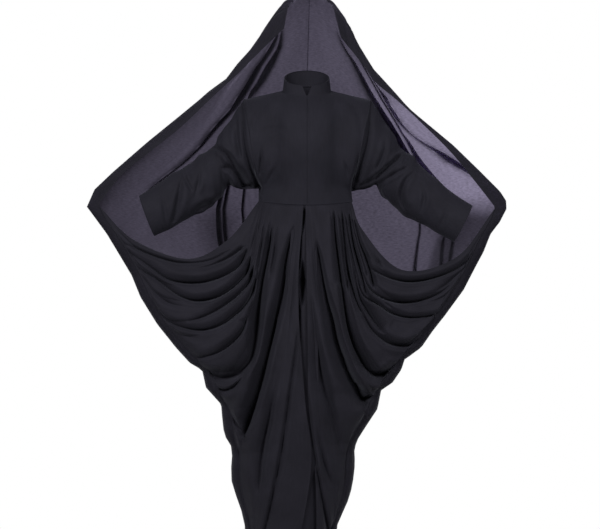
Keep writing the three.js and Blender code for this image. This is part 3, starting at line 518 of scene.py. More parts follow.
def front_skirt(side):
    last = len(FOLDS[side]["body"]) - 1
    first_cells = np.cumsum((0, *FOLD_CELLS))
    fold = np.interp(np.arange(first_cells[-1] + 1), first_cells, np.arange(last + 1))
    t = np.linspace(0, 1, DROP_CELLS + 1)
    base = fold_lines(side, fold, t)
    normals = grid_normals(base)
    outward = 1 if normals[len(fold) // 2, len(t) // 2, 1] < 0 else -1
    interval = np.minimum(np.floor(fold), last - 1).astype(int)
    widths = np.linalg.norm(np.diff(base[first_cells], axis=0), axis=2)[interval]
    height = np.minimum(FOLD_SHARE * widths, FOLD_MAX) * np.array(FOLD_STRENGTH)[interval][:, None]
    u = (fold - interval)[:, None]
    fade = np.where((fold > SIDE_FOLDS)[:, None], 1, 1 - smooth(t, FOLD_FADES, 1)[None, :])
    rise = smooth(t, 0, FOLD_STARTS)[None, :]
    lift = height * crest(u) * fade * rise
    moved = base + normals * (outward * lift)[..., None]
    moved[..., 2] -= FOLD_DROOP * lift * (fold < SIDE_FOLDS)[:, None]
    outside = outward * normals
    at_end = smooth(t, CALM["end"], 1) * (fold < SIDE_FOLDS + 1)[:, None]
    calm = smooth(t, 0, CALM["waist"]) * (1 - at_end) * smooth(fold, 0, CALM["edge"])[:, None]
    creased = press(moved, outside, SKIRT_CREASES[side], SKIRT_STRENGTH, SLIT_SHARE)
    moved = mix(moved, creased, calm[..., None])
    margin = np.minimum(SEAM_MARGIN, SEAM_APPROACH * (1 - t))[None, :]
    room = seam_reach(side, moved[..., 2]) - margin
    moved[..., 0] = side * np.minimum(side * moved[..., 0], room)
    moved[:, -1] = base[:, -1]
    below = np.linalg.norm(moved - moved[:, :1], axis=-1)
    tucked = (1 - smooth(below, 0, WAIST_TUCK["reach"]))[..., None]
    inward = unit(moved[:, :1] * np.array([-1, -1, 0]))
    return moved + tucked * (WAIST_TUCK["inward"] * inward + np.array([0, 0, WAIST_TUCK["up"]]))


UNDER = dict(across=61, down=201, narrows=0.6, behind=2.3, sinks=0.2,
             ripple=2, waves=(7, 3), ripples=(0.2, 0.6))


def centre_pleat():
    """Under-panel of the inverted pleat at the centre front."""
    t = np.linspace(0, 1, UNDER["down"])
    last = np.array([len(FOLDS[RIGHT]["body"]) - 1.0])
    right, left = (fold_lines(side, last, t)[0] for side in (RIGHT, LEFT))
    under = mix(PLEAT_UNDERLAP, PLEAT_HEM_UNDERLAP, smooth(t, UNDER["narrows"], 1))
    s = np.linspace(0, 1, UNDER["across"])[:, None]
    x = mix((right[:, 0] - under)[None, :], (left[:, 0] + under)[None, :], s)
    z = np.broadcast_to((right[:, 2] + left[:, 2]) / 2, x.shape)
    straight = mix(waist_point(x)[..., 1], front_depth(x, HEM_Z), t[None, :])
    behind = mix(UNDER["behind"], PLEAT_DEPTH, smooth(t, 0, UNDER["sinks"]))
    y = mix(straight, front_depth(x, z), smooth(t, 0, FOLD_FILLS)[None, :]) + behind[None, :]
    wave = np.sin(UNDER["waves"][0] * s + UNDER["waves"][1] * t[None, :])
    y = y + UNDER["ripple"] * wave * smooth(t, *UNDER["ripples"])[None, :]
    grid = points(x, y, z)
    return press(grid, np.broadcast_to([0.0, -1.0, 0.0], grid.shape), PLEAT_CREASES)


# Back sheet
def veil_stations(side, row):
    seam = seam_point(side, np.clip(row - HAND_ROW, 0, SIDE_FOLDS))
    above = np.clip(row, 0, HAND_ROW)
    free = {name: through(FREE_EDGE[side][name], above) for name in ("x", "z", "ridge_z", "turn")}
    lower = row >= HAND_ROW
    ridge_z = np.where(lower, seam[..., 2], free["ridge_z"])
    ridge = points(at_height(REACH[side], "x", ridge_z),
                   at_height(DEPTH, "ridge", ridge_z), ridge_z)
    edge = points(free["x"], ridge[..., 1] - free["turn"], free["z"])
    edge = np.where(lower[..., None], seam, edge)
    back = points(*(through(BACK_LINE[k], row) for k in "xyz"))
    return edge, ridge, back


def veil_strip(side, row, s):
    """The turned strip beside the free edge: s is 0 at the ridge and 1 at the edge."""
    edge, ridge, _ = veil_stations(side, row)
    control = points(ridge[..., 0], edge[..., 1], ridge[..., 2])
    s = s[..., None]
    return ridge * (1 - s) ** 2 + control * (2 * s * (1 - s)) + edge * s ** 2


def veil_back(side, row, angle):
    """The main part of the sheet: angle is 0 at the ridge and 1 at the centre back."""
    _, ridge, back = veil_stations(side, row)
    turn = np.clip(angle, 0, 1) * np.pi / 2
    fall = mix(FALL["hood"], FALL["back"], smooth(row, FALL["hood_row"], FALL["back_row"]))
    across = np.clip(np.cos(turn), 0, 1)
    x = mix(back[..., 0], ridge[..., 0], across)
    y = mix(ridge[..., 1], back[..., 1], np.sin(turn))
    z = mix(ridge[..., 2], back[..., 2], 1 - across ** fall)
    return points(x, y, z)


ANGLE_STEP, ROW_STEP, LAST_ANGLE, CENTRE_FROM = 0.004, 0.05, 0.9995, 0.82


def veil_normal(side, row, angle):
    low, high = (np.clip(angle + step, 0, LAST_ANGLE) for step in (-ANGLE_STEP, ANGLE_STEP))
    along = veil_back(side, row, high) - veil_back(side, row, low)
    down = veil_back(side, np.minimum(row + ROW_STEP, LAST_ROW), angle) \
        - veil_back(side, np.maximum(row - ROW_STEP, 0), angle)
    normal = -side * unit(np.cross(along, down))
    centre = smooth(angle, CENTRE_FROM, 1)[..., None]
    return unit(mix(normal, normal * np.array([0, 1, 1]), centre))


def veil_relief(row, angle):
    swag_rows = smooth(row, SWAG["starts"], SWAG["full"]) \
        * (1 - smooth(row, SWAG["fades"], SWAG["ends"]))
    swag = swag_rows * np.sin(np.pi * row / 2) ** 2 * smooth(angle, SWAG["edge"], SWAG["inside"])
    fan_rows = smooth(row, FAN["starts"], FAN["full"]) \
        * (1 - FAN["weakness"] * smooth(row, FAN["weakens"], FAN["weak"]))
    fan = fan_rows * np.cos(FAN["folds"] * np.pi * (1 - angle)) * smooth(angle, 0, FAN["inside"])
    return SWAG["height"] * swag + FAN["height"] * fan


# Pleats in the back sheet, where the cloth is folded over itself, from the ridge to the centre
# back. Each runs down the rows: angle is its place across the sheet, and width how wide the triple
# cloth is
def pleats(text):
    return [table("row angle width strength", rows) for rows in text.split(";")]


PLEATS = {
    RIGHT: pleats("""
    0 0.5 0.01 0, 2.9 0.69 0.02 0, 3.2 0.712 0.036 1, 3.5 0.693 0.062 1, 3.9 0.67 0.058 1,
    4.35 0.658 0.058 1, 4.7 0.639 0.062 1, 5 0.628 0.048 1, 5.3 0.596 0.044 1, 5.6 0.577 0.032 1,
    6 0.563 0.018 1, 6.5 0.527 0.016 1, 7 0.472 0.014 1, 7.6 0.41 0.008 0, 9 0.36 0.006 0;
    0 0.6 0.01 0, 2.9 0.74 0.01 0, 3.2 0.75 0.022 1, 3.4 0.762 0.026 1, 3.6 0.765 0.044 1,
    4.03 0.748 0.066 1, 4.4 0.724 0.052 1, 4.6 0.703 0.046 1, 4.85 0.688 0.026 0.6,
    5.1 0.675 0.01 0, 7 0.6 0.006 0, 9 0.5 0.006 0;
    0 0.82 0.004 0, 6.5 0.74 0.006 0, 7.5 0.728 0.014 1, 9.5 0.709 0.02 1, 10.5 0.69 0.008 0,
    18 0.66 0.006 0;
    0 0.86 0.004 0, 6.5 0.76 0.006 0, 7.5 0.746 0.011 1, 9.5 0.73 0.014 1, 10.5 0.715 0.008 0,
    18 0.7 0.006 0;
    0 0.92 0.004 0, 6.3 0.81 0.005 0, 7.2 0.802 0.008 1, 8.5 0.8 0.008 1, 9.5 0.8 0.005 0
    """),
    LEFT: pleats("""
    0 0.3 0.01 0, 2.6 0.46 0.02 0, 3 0.465 0.05 1, 3.4 0.466 0.08 1, 3.9 0.424 0.068 1,
    4.2 0.39 0.082 1, 4.46 0.393 0.054 1, 4.8 0.407 0.06 1, 5.12 0.421 0.048 1, 5.4 0.406 0.026 1,
    5.7 0.366 0.034 1, 5.96 0.317 0.058 1, 6.3 0.28 0.09 1, 6.62 0.238 0.066 1, 7 0.18 0.05 1,
    7.5 0.13 0.02 0, 9 0.38 0.004 0, 9.4 0.385 0.02 1, 10 0.36 0.03 1, 11 0.34 0.008 0;
    0 0.4 0.01 0, 2.8 0.56 0.02 0, 3.5 0.536 0.05 1, 4 0.489 0.058 1, 4.33 0.464 0.06 1,
    4.55 0.453 0.06 1, 4.86 0.457 0.034 1, 5.2 0.474 0.026 1, 5.5 0.492 0.024 1, 5.76 0.496 0.032 1,
    6.1 0.504 0.038 1, 6.4 0.506 0.044 1, 6.75 0.496 0.044 1, 7.05 0.479 0.034 1, 7.6 0.45 0.006 0,
    9 0.45 0.006 0, 9.5 0.44 0.022 1, 10.5 0.398 0.026 1, 11.5 0.39 0.006 0;
    0 0.6 0.01 0, 2.8 0.72 0.01 0, 3.3 0.695 0.022 1, 3.45 0.682 0.028 1, 3.73 0.633 0.052 1,
    4.2 0.599 0.068 1, 4.7 0.568 0.08 1, 5.25 0.553 0.064 1, 5.8 0.56 0.048 1, 6.3 0.554 0.032 1,
    6.7 0.56 0.01 0, 8 0.6 0.004 0, 8.6 0.588 0.007 1, 9 0.579 0.009 1, 10 0.56 0.016 1,
    10.7 0.545 0.024 1, 11.5 0.54 0.008 0
    """),
}
PLEAT_LAYER, PLEAT_SWELL = 4.5, 1.5
PLEAT_TURN, PLEAT_REACH = 3.2, 2.15
PLEAT_CELLS = 18
ROW_CELLS, STRIP_CELLS = 10, 12
SPAN_CELLS = {RIGHT: (32, 6, 18, 4, 10, 28), LEFT: (24, 12, 12, 50)}

# Share of the light that one layer of the sheet lets through, and more where a hand pulls it taut
SHEER = {RIGHT: 0.47, LEFT: 0.5}
TAUT = dict(more=0.42, strip=0.3, starts=3.0, full=4.8, fades=7.2, ends=8.6,
            before=0.004, past=0.012)
# Shade beside the pleats: pleat, side of it, how far it reaches and how much light it takes
SHADE = {RIGHT: ((0, -1, 0.028, 0.5), (1, 1, 0.02, 0.4)),
         LEFT: ((0, 1, 0.03, 0.3), (0, -1, 0.02, 0.2), (2, 1, 0.03, 0.3))}
SHADE_ROWS = 1.5
# Painted shade across the sheet, above and below the hands: darker bands beside the ridge and near
# the pleats, as angle and share
UPPER_SHADE_SHARE = {RIGHT: ((0.1, 0.2, 0.27, 0.36, 0.5, 0.62), (0.56, 0.45, 0.74, 0.9, 1.1, 1)),
               LEFT: ((0, 1), (1, 1))}
LOWER_SHADE_SHARE = {RIGHT: ((0.15, 0.25, 0.4, 0.62, 0.72, 0.8), (0.5, 0.85, 0.96, 0.9, 0.6, 0.95)),
               LEFT: ((0.3, 0.38, 0.46, 0.5), (0.75, 0.6, 0.62, 1))}
# The turned strip lets less light through than the sheet, and less still near its free edge: a
# painted shadow along the edge
BAND_SHEER, EDGE_SHADOW_SHEER, EDGE_FROM, EDGE_FULL = 0.25, 0.1, 0.7, 0.95

# Waves that cross each other on the sheet: radians across it, and radians for each row
RIPPLE = dict(height=1.6, waves=((31, 1.3), (9, -0.8)), margin=0.1)
CLOUDS = dict(height=0.012, waves=((23, 2.1), (9, 1.7)))


def crossed(waves, angle, row):
    first, second = (np.sin(across * angle + down * row) for across, down in waves["waves"])
    return waves["height"] * first * second


def pleat_lines(side, row):
    for line in PLEATS[side]:
        angle, width, strength = (np.interp(row, line["row"], line[k])
                                  for k in ("angle", "width", "strength"))
        yield angle, width / PLEAT_REACH, smooth(strength, 0, 1)


def veil_columns(side, row):
    """Angles of the sheet's columns in each row, and how far the pleats push them off the sheet."""
    parts, pushes = [], []
    start = np.zeros_like(row)
    v = np.linspace(-1, 1, PLEAT_CELLS + 1)[1:-1][None, :]
    spans = SPAN_CELLS[side]
    for cells, (centre, half, grown) in zip(spans, pleat_lines(side, row)):
        parts.append(mix(start[:, None], (centre - half)[:, None],
                         np.linspace(0, 1, cells)[None, :]))
        turn = mix(-1, PLEAT_TURN, grown)[:, None]
        parts.append(centre[:, None] + half[:, None] * ((1 + turn) * v ** 3 - turn * v))
        pushes += [np.zeros_like(parts[-2]),
                   -PLEAT_LAYER * PLEAT_SWELL * grown[:, None] * v * (1 - v ** 4)]
        start = centre + half
    parts.append(mix(start[:, None], 1, np.linspace(0, 1, spans[-1])[None, :]))
    pushes.append(np.zeros_like(parts[-1]))
    return np.concatenate(parts, axis=1), np.concatenate(pushes, axis=1)


# Share of light through the sheet, with painted shade cut into it across the sheet and beside the
# pleats
def see_through_and_shade(side, row, angle):
    upper = np.clip(HAND_ROW + 0.5 - row, 0, 1)
    # Painted shade across the sheet, by angle
    lower_shade, upper_shade = (np.interp(angle, *share[side])
                                for share in (LOWER_SHADE_SHARE, UPPER_SHADE_SHARE))
    share = SHEER[side] * mix(lower_shade, upper_shade, upper)
    lines = [[part[:, None] for part in line] for line in pleat_lines(side, row[:, 0])]
    if side == LEFT:
        rows = smooth(row, TAUT["starts"], TAUT["full"]) \
            * (1 - smooth(row, TAUT["fades"], TAUT["ends"]))
        inside, strip = (1 - smooth(angle, end - TAUT["before"], end + TAUT["past"])
                         for end in (lines[1][0], lines[2][0]))
        share = share + rows * (TAUT["more"] * inside + TAUT["strip"] * strip * (1 - inside))
    shaded = 1 - smooth(row, HAND_ROW - SHADE_ROWS, HAND_ROW)
    for number, hand, reach, amount in SHADE[side]:
        centre, half, grown = lines[number]
        gap = hand * (angle - centre) - half
        share = share * (1 - amount * grown * shaded * np.exp(-(gap / reach) ** 2) * (gap > 0))
    return share + crossed(CLOUDS, angle, row)


# Creases on the outside of the sheet, in x and z as seen from behind: swags below the hands, long
# folds to the hem, and drapes from the crown to the hands
BACK_CREASES = {
    RIGHT: creases("""
    swag 1: 12 16 12, 0 12 5, 4 3 0, -470 -775, -410 -835, -330 -870, -230 -868, -140 -842,
        -60 -820;
    swag 2: 12 15 14, 0 10 0, 3 3 0, -420 -880, -350 -930, -270 -955, -180 -950, -110 -925;
    swag 3: 12 15 12, 0 13 6, 4 3 0, -370 -985, -310 -1030, -230 -1052, -130 -1040, -50 -1016;
    swag 4: 10 13 10, 0 9 0, 3 2 0, -285 -1085, -220 -1125, -140 -1135, -80 -1118;
    swag 5: 10 12 10, 0 10 3, 3 2 0, -215 -1165, -160 -1200, -95 -1204, -40 -1190;
    long fold 1: 10 13 14, 0 9 8, 3 3 0, -52 -1240, -60 -1350, -57 -1480, -66 -1630;
    long fold 2: 9 12 12, 0 7 4, 2 3 0, -104 -1260, -112 -1370, -122 -1500;
    long fold 3: 8 10 9, 0 6 0, 2 2 0, -146 -1250, -150 -1340, -158 -1450;
    drape 1: 10 18 14, 0 9 0, 4 3 0, -62 -90, -140 -230, -255 -370, -385 -480;
    drape 2: 9 14 12, 0 7 0, 3 2 0, -40 -190, -95 -330, -190 -470, -300 -570;
    drape 3: 9 13 12, 0 6 0, 2 3 0, -24 -300, -52 -450, -88 -600
    """),
    LEFT: creases("""
    swag 1: 12 15 12, 0 11 4, 3 3 0, 425 -765, 365 -820, 285 -848, 195 -838, 95 -800;
    swag 2: 12 16 12, 0 13 7, 4 3 0, 385 -858, 318 -918, 228 -948, 130 -930, 38 -905;
    swag 3: 11 14 12, 0 9 0, 3 3 0, 330 -965, 268 -1008, 190 -1022, 110 -1002;
    swag 4: 12 14 10, 0 12 5, 4 2 0, 262 -1048, 200 -1098, 120 -1112, 30 -1085;
    swag 5: 9 12 10, 0 8 0, 3 2 0, 190 -1138, 130 -1172, 72 -1170;
    long fold 1: 9 12 12, 0 8 6, 3 2 0, 30 -1225, 37 -1340, 30 -1470, 34 -1630;
    long fold 2: 10 13 13, 0 9 5, 3 3 0, 84 -1230, 95 -1350, 92 -1490, 99 -1600;
    long fold 3: 8 10 9, 0 6 0, 2 2 0, 130 -1215, 138 -1300, 137 -1400;
    drape 1: 10 17 13, 0 9 0, 3 4 0, 70 -110, 150 -250, 262 -385, 372 -500;
    drape 2: 9 14 12, 0 7 0, 3 2 0, 36 -230, 88 -370, 180 -510, 262 -590;
    drape 3: 9 12 12, 0 5 0, 2 2 0, 28 -360, 48 -500, 66 -640
    """),
}
BACK_CALM = dict(ridge=(0.03, 0.2), centre=(0.95, 1))


def veil_half(side):
    """One half of the back sheet, and the share of light that each place lets through, with painted
    shade in it.
    """
    row = np.linspace(0, LAST_ROW, LAST_ROW * ROW_CELLS + 1)
    angle, push = veil_columns(side, row)
    rows = np.broadcast_to(row[:, None], angle.shape)
    ripple = crossed(RIPPLE, angle, rows) \
        * smooth(angle, 0, RIPPLE["margin"]) * (1 - smooth(angle, 1 - RIPPLE["margin"], 1))
    lift = veil_relief(rows, angle) + push + ripple
    normal = veil_normal(side, rows, angle)
    back = veil_back(side, rows, angle) + normal * lift[..., None]
    mirror = np.array([1, -1, 1])
    creased = press(back * mirror, normal * mirror, BACK_CREASES[side]) * mirror
    calm = smooth(angle, *BACK_CALM["ridge"]) * (1 - smooth(angle, *BACK_CALM["centre"]))
    back = mix(back, creased, calm[..., None])
    strip_rows = np.broadcast_to(row[:, None], (len(row), STRIP_CELLS))
    s = np.broadcast_to(np.linspace(1, 0, STRIP_CELLS + 1)[:-1], strip_rows.shape)
    strip = veil_strip(side, strip_rows, s)
    share = see_through_and_shade(side, rows, angle)
    # Painted shadow along the free edge of the strip
    strip_share = mix(BAND_SHEER, EDGE_SHADOW_SHEER, smooth(s, EDGE_FROM, EDGE_FULL))
    return np.concatenate([strip, back], axis=1), np.concatenate([strip_share, share], axis=1)


# Sleeves
def ring_point(side, place, angle):
    value = {name: through(RINGS[side][name], place) for name in RINGS[side]}
    up = (1 + np.cos(angle)) / 2
    return points(mix(value["low_x"], value["top_x"], up),
                  value["y"] - value["half_depth"] * np.sin(angle),
                  mix(value["low_z"], value["top_z"], up))


SLEEVE = dict(last=7, along=113, around=120, wave=3, small=0.35, waves=4, small_waves=9)
SLEEVE_CALM = dict(armhole=0.04, behind=(-8, 4))


def sleeve(side):
    place = np.linspace(0, SLEEVE["last"], SLEEVE["along"])[None, :]
    angle = np.linspace(0, 2 * np.pi, SLEEVE["around"] + 1)[:-1][:, None]
    base = ring_point(side, *np.broadcast_arrays(place, angle))
    along = np.gradient(base, axis=1)
    around = np.roll(base, -1, axis=0) - np.roll(base, 1, axis=0)
    normal = unit(np.cross(around, along))
    first = {k: RINGS[side][k][0] for k in RINGS[side]}
    top = np.array([first["top_x"] - first["low_x"], 0, first["top_z"] - first["low_z"]])
    if (normal[0, 0] * top).sum() < 0:
        normal = -normal
    share = place / SLEEVE["last"]
    wave = np.sin(SLEEVE["waves"] * 2 * np.pi * share + angle) \
        + SLEEVE["small"] * np.sin(SLEEVE["small_waves"] * 2 * np.pi * share - 2 * angle + 1)
    moved = base + normal * (SLEEVE["wave"] * wave * np.sin(np.pi * share))[..., None]
    creased = press(moved, normal, SLEEVE_CREASES[side], SLEEVE_STRENGTH)
    behind = smooth(base[..., 1], *SLEEVE_CALM["behind"])
    return mix(moved, creased, mix(1, smooth(share, 0, SLEEVE_CALM["armhole"]), behind)[..., None])


# Bodice and collar
def neck_point(angle, shrink=0):
    return points((NECK_HALF_WIDTH - shrink) * np.sin(angle),
                  -(NECK_HALF_DEPTH - shrink) * np.cos(angle), NECK_Z - NECK_SLOPE * np.cos(angle))


NECK_PART, ARM_PART = 5 / 9, 9 / 11
BODICE_CELLS = (64, 88)
RELAX_ROUNDS, RELAX_SHARE = 60, 0.8
BODICE_CALM = dict(centre=0.02, side=0.985, top=0.03, waist=0.97, below_arm=(-0.01, 0.02))


def bodice_quarter(side, face):
    """A quarter of the bodice, between the centre line and the armhole and side seam."""
    a, b = (np.linspace(0, 1, cells + 1) for cells in BODICE_CELLS)
    depth = WAIST_HALF_DEPTH if face < 0 else WAIST_BACK_HALF_DEPTH
    waist_side = BODICE_WAIST_SIDE[side]
    shoulder, underarm = ring_point(side, np.array([0.0, 0.0]), np.array([0, np.pi]))
    quarter = np.minimum(a / NECK_PART, 1) * np.pi / 2
    neck = neck_point(side * (quarter if face < 0 else np.pi - quarter))
    past = np.clip((a - NECK_PART) / (1 - NECK_PART), 0, 1)[:, None]
    top = np.where(past > 0, mix(neck_point(np.array(side * np.pi / 2)), shoulder, past), neck)
    bottom = waist_point(waist_side * np.sin(a * np.pi / 2), face, depth)
    corner = waist_point(np.array(float(waist_side)), face, depth) * [1, 0, 1]
    bottom[-1] = corner
    line = BODICE_LINE[face]
    z = mix(line["z"][0], WAIST_FRONT_Z, b)
    place = np.linspace(0, len(line["z"]) - 1, LINE_SAMPLES)
    centre = points(0, np.interp(-z, -through(line["z"], place), through(line["y"], place)), z)
    turn = np.minimum(b / ARM_PART, 1) * np.pi * (1 if face < 0 else -1)
    arm = ring_point(side, np.zeros_like(b), turn)
    low = np.clip((b - ARM_PART) / (1 - ARM_PART), 0, 1)[:, None]
    outside = np.where(low > 0, mix(underarm, corner, low), arm)
    a, b = a[:, None, None], b[None, :, None]
    grid = mix(top[:, None], bottom[:, None], b) + mix(centre[None], outside[None], a)
    return relaxed(grid - mix(mix(top[0], top[-1], a), mix(bottom[0], bottom[-1], a), b))


def relaxed(grid):
    """The same patch with softer bends between its four edges."""
    grid = grid.copy()
    for _ in range(RELAX_ROUNDS):
        around = grid[2:, 1:-1] + grid[:-2, 1:-1] + grid[1:-1, 2:] + grid[1:-1, :-2]
        grid[1:-1, 1:-1] = mix(grid[1:-1, 1:-1], around / 4, RELAX_SHARE)
    return grid


def bodice_front(side):
    grid = bodice_quarter(side, -1)
    normals = grid_normals(grid)
    normals = normals * (-1 if normals[grid.shape[0] // 2, grid.shape[1] // 2, 1] > 0 else 1)
    creased = press(grid, normals, BODICE_CREASES[side], BODICE_STRENGTH)
    a = np.linspace(0, 1, grid.shape[0])[:, None]
    b = np.linspace(0, 1, grid.shape[1])[None, :]
    low, high = BODICE_CALM["below_arm"]
    side_seam = smooth(a, BODICE_CALM["side"], 1) * smooth(b, ARM_PART + low, ARM_PART + high)
    calm = smooth(a, 0, BODICE_CALM["centre"]) * (1 - side_seam) \
        * smooth(b, 0, BODICE_CALM["top"]) * (1 - smooth(b, BODICE_CALM["waist"], 1))
    return mix(grid, creased, calm[..., None])


def bodice_back():
    return np.concatenate([bodice_quarter(RIGHT, 1)[:0:-1], bodice_quarter(LEFT, 1)])


def collar():
    s = np.linspace(0, 1, COLLAR_CELLS[0] + 1)[:, None]
    rise = np.linspace(0, 1, COLLAR_CELLS[1] + 1)[None, :]
    start = mix(COLLAR_END_ANGLE, COLLAR_NOTCH_ANGLE, rise)
    angle = mix(start, 2 * np.pi - start, s)
    low = neck_point(angle, COLLAR_INSET)
    high = points(COLLAR_TOP_HALF_WIDTH * np.sin(angle), -COLLAR_TOP_HALF_DEPTH * np.cos(angle),
                  COLLAR_TOP_Z - COLLAR_TOP_SLOPE * np.cos(angle))
    return mix(low, high, rise[..., None])


# Meshes
HALF_CLOTH, HALF_COLLAR = 0.45, 0.9
HEM_WIDTH, HEM_STEP, HEM_MORE = 9, 1, 0.9
NO_HEM = 1e3


def placed(name, data):
    """A new object in the scene."""
    made = bpy.data.objects.new(name, data)
    bpy.context.scene.collection.objects.link(made)
    return made


def store(mesh, name, values):
    attribute = mesh.attributes.new(name=name, type="FLOAT", domain="POINT")
    attribute.data.foreach_set("value", np.tile(values.ravel(), 2).astype(np.float32))


def volume(vertices, faces):
    a, b, c, d = (vertices[faces[:, k]] for k in range(4))
    return (a * (np.cross(b, c) + np.cross(c, d))).sum()


def shell_faces(count, index, wrap):
    """Faces of a shell: the outer grid, the inner one, and the rims between them."""
    a, b, c, d = index[:-1, :-1], index[1:, :-1], index[1:, 1:], index[:-1, 1:]
    top = np.stack([a, b, c, d], axis=-1).reshape(-1, 4)
    rims = [index[:, 0][::-1], index[:, -1]]
    if not wrap:
        rims += [index[0], index[-1][::-1]]
    sides = [np.stack([rim[:-1], rim[1:], rim[1:] + count, rim[:-1] + count], axis=-1)[:, ::-1]
             for rim in rims]
    return np.concatenate([top, top[:, ::-1] + count, *sides]), 2 * len(top)


def shell(node, grid, material, wrap=False, half=HALF_CLOTH, hems=(), sheer_and_shade=None):
    """A thin closed shell round a grid of points, with cloth coordinates in metres as its UV map.

    hems lists the edges with a turned hem: i0, i1, j0 or j1.
    """
    rows, columns = grid.shape[:2]
    if wrap:
        along = np.roll(grid, -1, axis=0) - np.roll(grid, 1, axis=0)
        normals = unit(np.cross(along, np.gradient(grid, axis=1)))
    else:
        normals = grid_normals(grid)
    steps_i, steps_j = (np.linalg.norm(np.diff(grid, axis=axis), axis=2) for axis in (0, 1))
    from_i0 = np.concatenate([np.zeros((1, columns)), np.cumsum(steps_i, axis=0)])
    from_j0 = np.concatenate([np.zeros((rows, 1)), np.cumsum(steps_j, axis=1)], axis=1)
    distance = {"i0": from_i0, "i1": from_i0[-1] - from_i0,
                "j0": from_j0, "j1": from_j0[:, -1:] - from_j0}
    edge = np.full((rows, columns), NO_HEM)
    for hem in hems:
        edge = np.minimum(edge, distance[hem])
    thick = half * (1 + HEM_MORE * (1 - smooth(edge, HEM_WIDTH - HEM_STEP, HEM_WIDTH + HEM_STEP)))
    vertices = np.concatenate([(grid + hand * normals * thick[..., None]).reshape(-1, 3)
                               for hand in (1, -1)]) * MM
    index = np.arange(rows * columns).reshape(rows, columns)
    if wrap:
        index = np.concatenate([index, index[:1]])
    faces, smooth_faces = shell_faces(rows * columns, index, wrap)
    mesh = bpy.data.meshes.new(f"cloth_{node}")
    mesh.from_pydata(vertices.tolist(), [], faces.tolist())
    if volume(vertices, faces) < 0:
        mesh.flip_normals()

    if not wrap:
        # One coordinate for a whole line of the grid keeps the weave straight
        from_i0 = np.broadcast_to(from_i0.mean(axis=1, keepdims=True), grid.shape[:2])
    cloth = np.tile(np.stack([from_i0, from_j0], axis=-1).reshape(-1, 2) * MM, (2, 1))
    loops = np.zeros(len(mesh.loops), np.int32)
    mesh.loops.foreach_get("vertex_index", loops)
    mesh.uv_layers.new(name="cloth").data.foreach_set("uv", cloth[loops].ravel())
    store(mesh, "edge", edge * MM)
    if sheer_and_shade is not None:
        store(mesh, "sheer_and_shade", sheer_and_shade)
    mesh.polygons.foreach_set("use_smooth", np.arange(len(mesh.polygons)) < smooth_faces)
    mesh.materials.append(material)
    mesh.update()
    piece = placed(f"cloth_{node}", mesh)
    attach(piece, "root")
    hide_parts(node)


# Materials
SKIRT_COLOUR = (0.0066, 0.0062, 0.0089)
BODICE_COLOUR = (0.0064, 0.0061, 0.0088)
SHEET_DARKER = 0.95
GLOW = (0.53, 0.5, 0.604)
SHADES = ((0.45, 0.78), (1.05, 1.25))
STITCHES = dict(inside=0.0075, half_width=0.0003, fades=0.0009, sunk=-2.5)


def add(tree, kind, inputs=(), **settings):
    """A new node. Each input gets its value, or a link where it is given a socket."""
    made = tree.nodes.new("ShaderNode" + kind)
    for key, value in settings.items():
        setattr(made, key, value)
    for key, value in dict(inputs).items():
        if isinstance(value, bpy.types.NodeSocket):
            tree.links.new(value, made.inputs[key])
        else:
            made.inputs[key].default_value = value
    return made


def ramp(tree, value, low, high, start, end, kind="LINEAR"):
    inputs = {"Value": value, "From Min": low, "From Max": high, "To Min": start, "To Max": end}
    return add(tree, "MapRange", inputs, interpolation_type=kind).outputs["Result"]


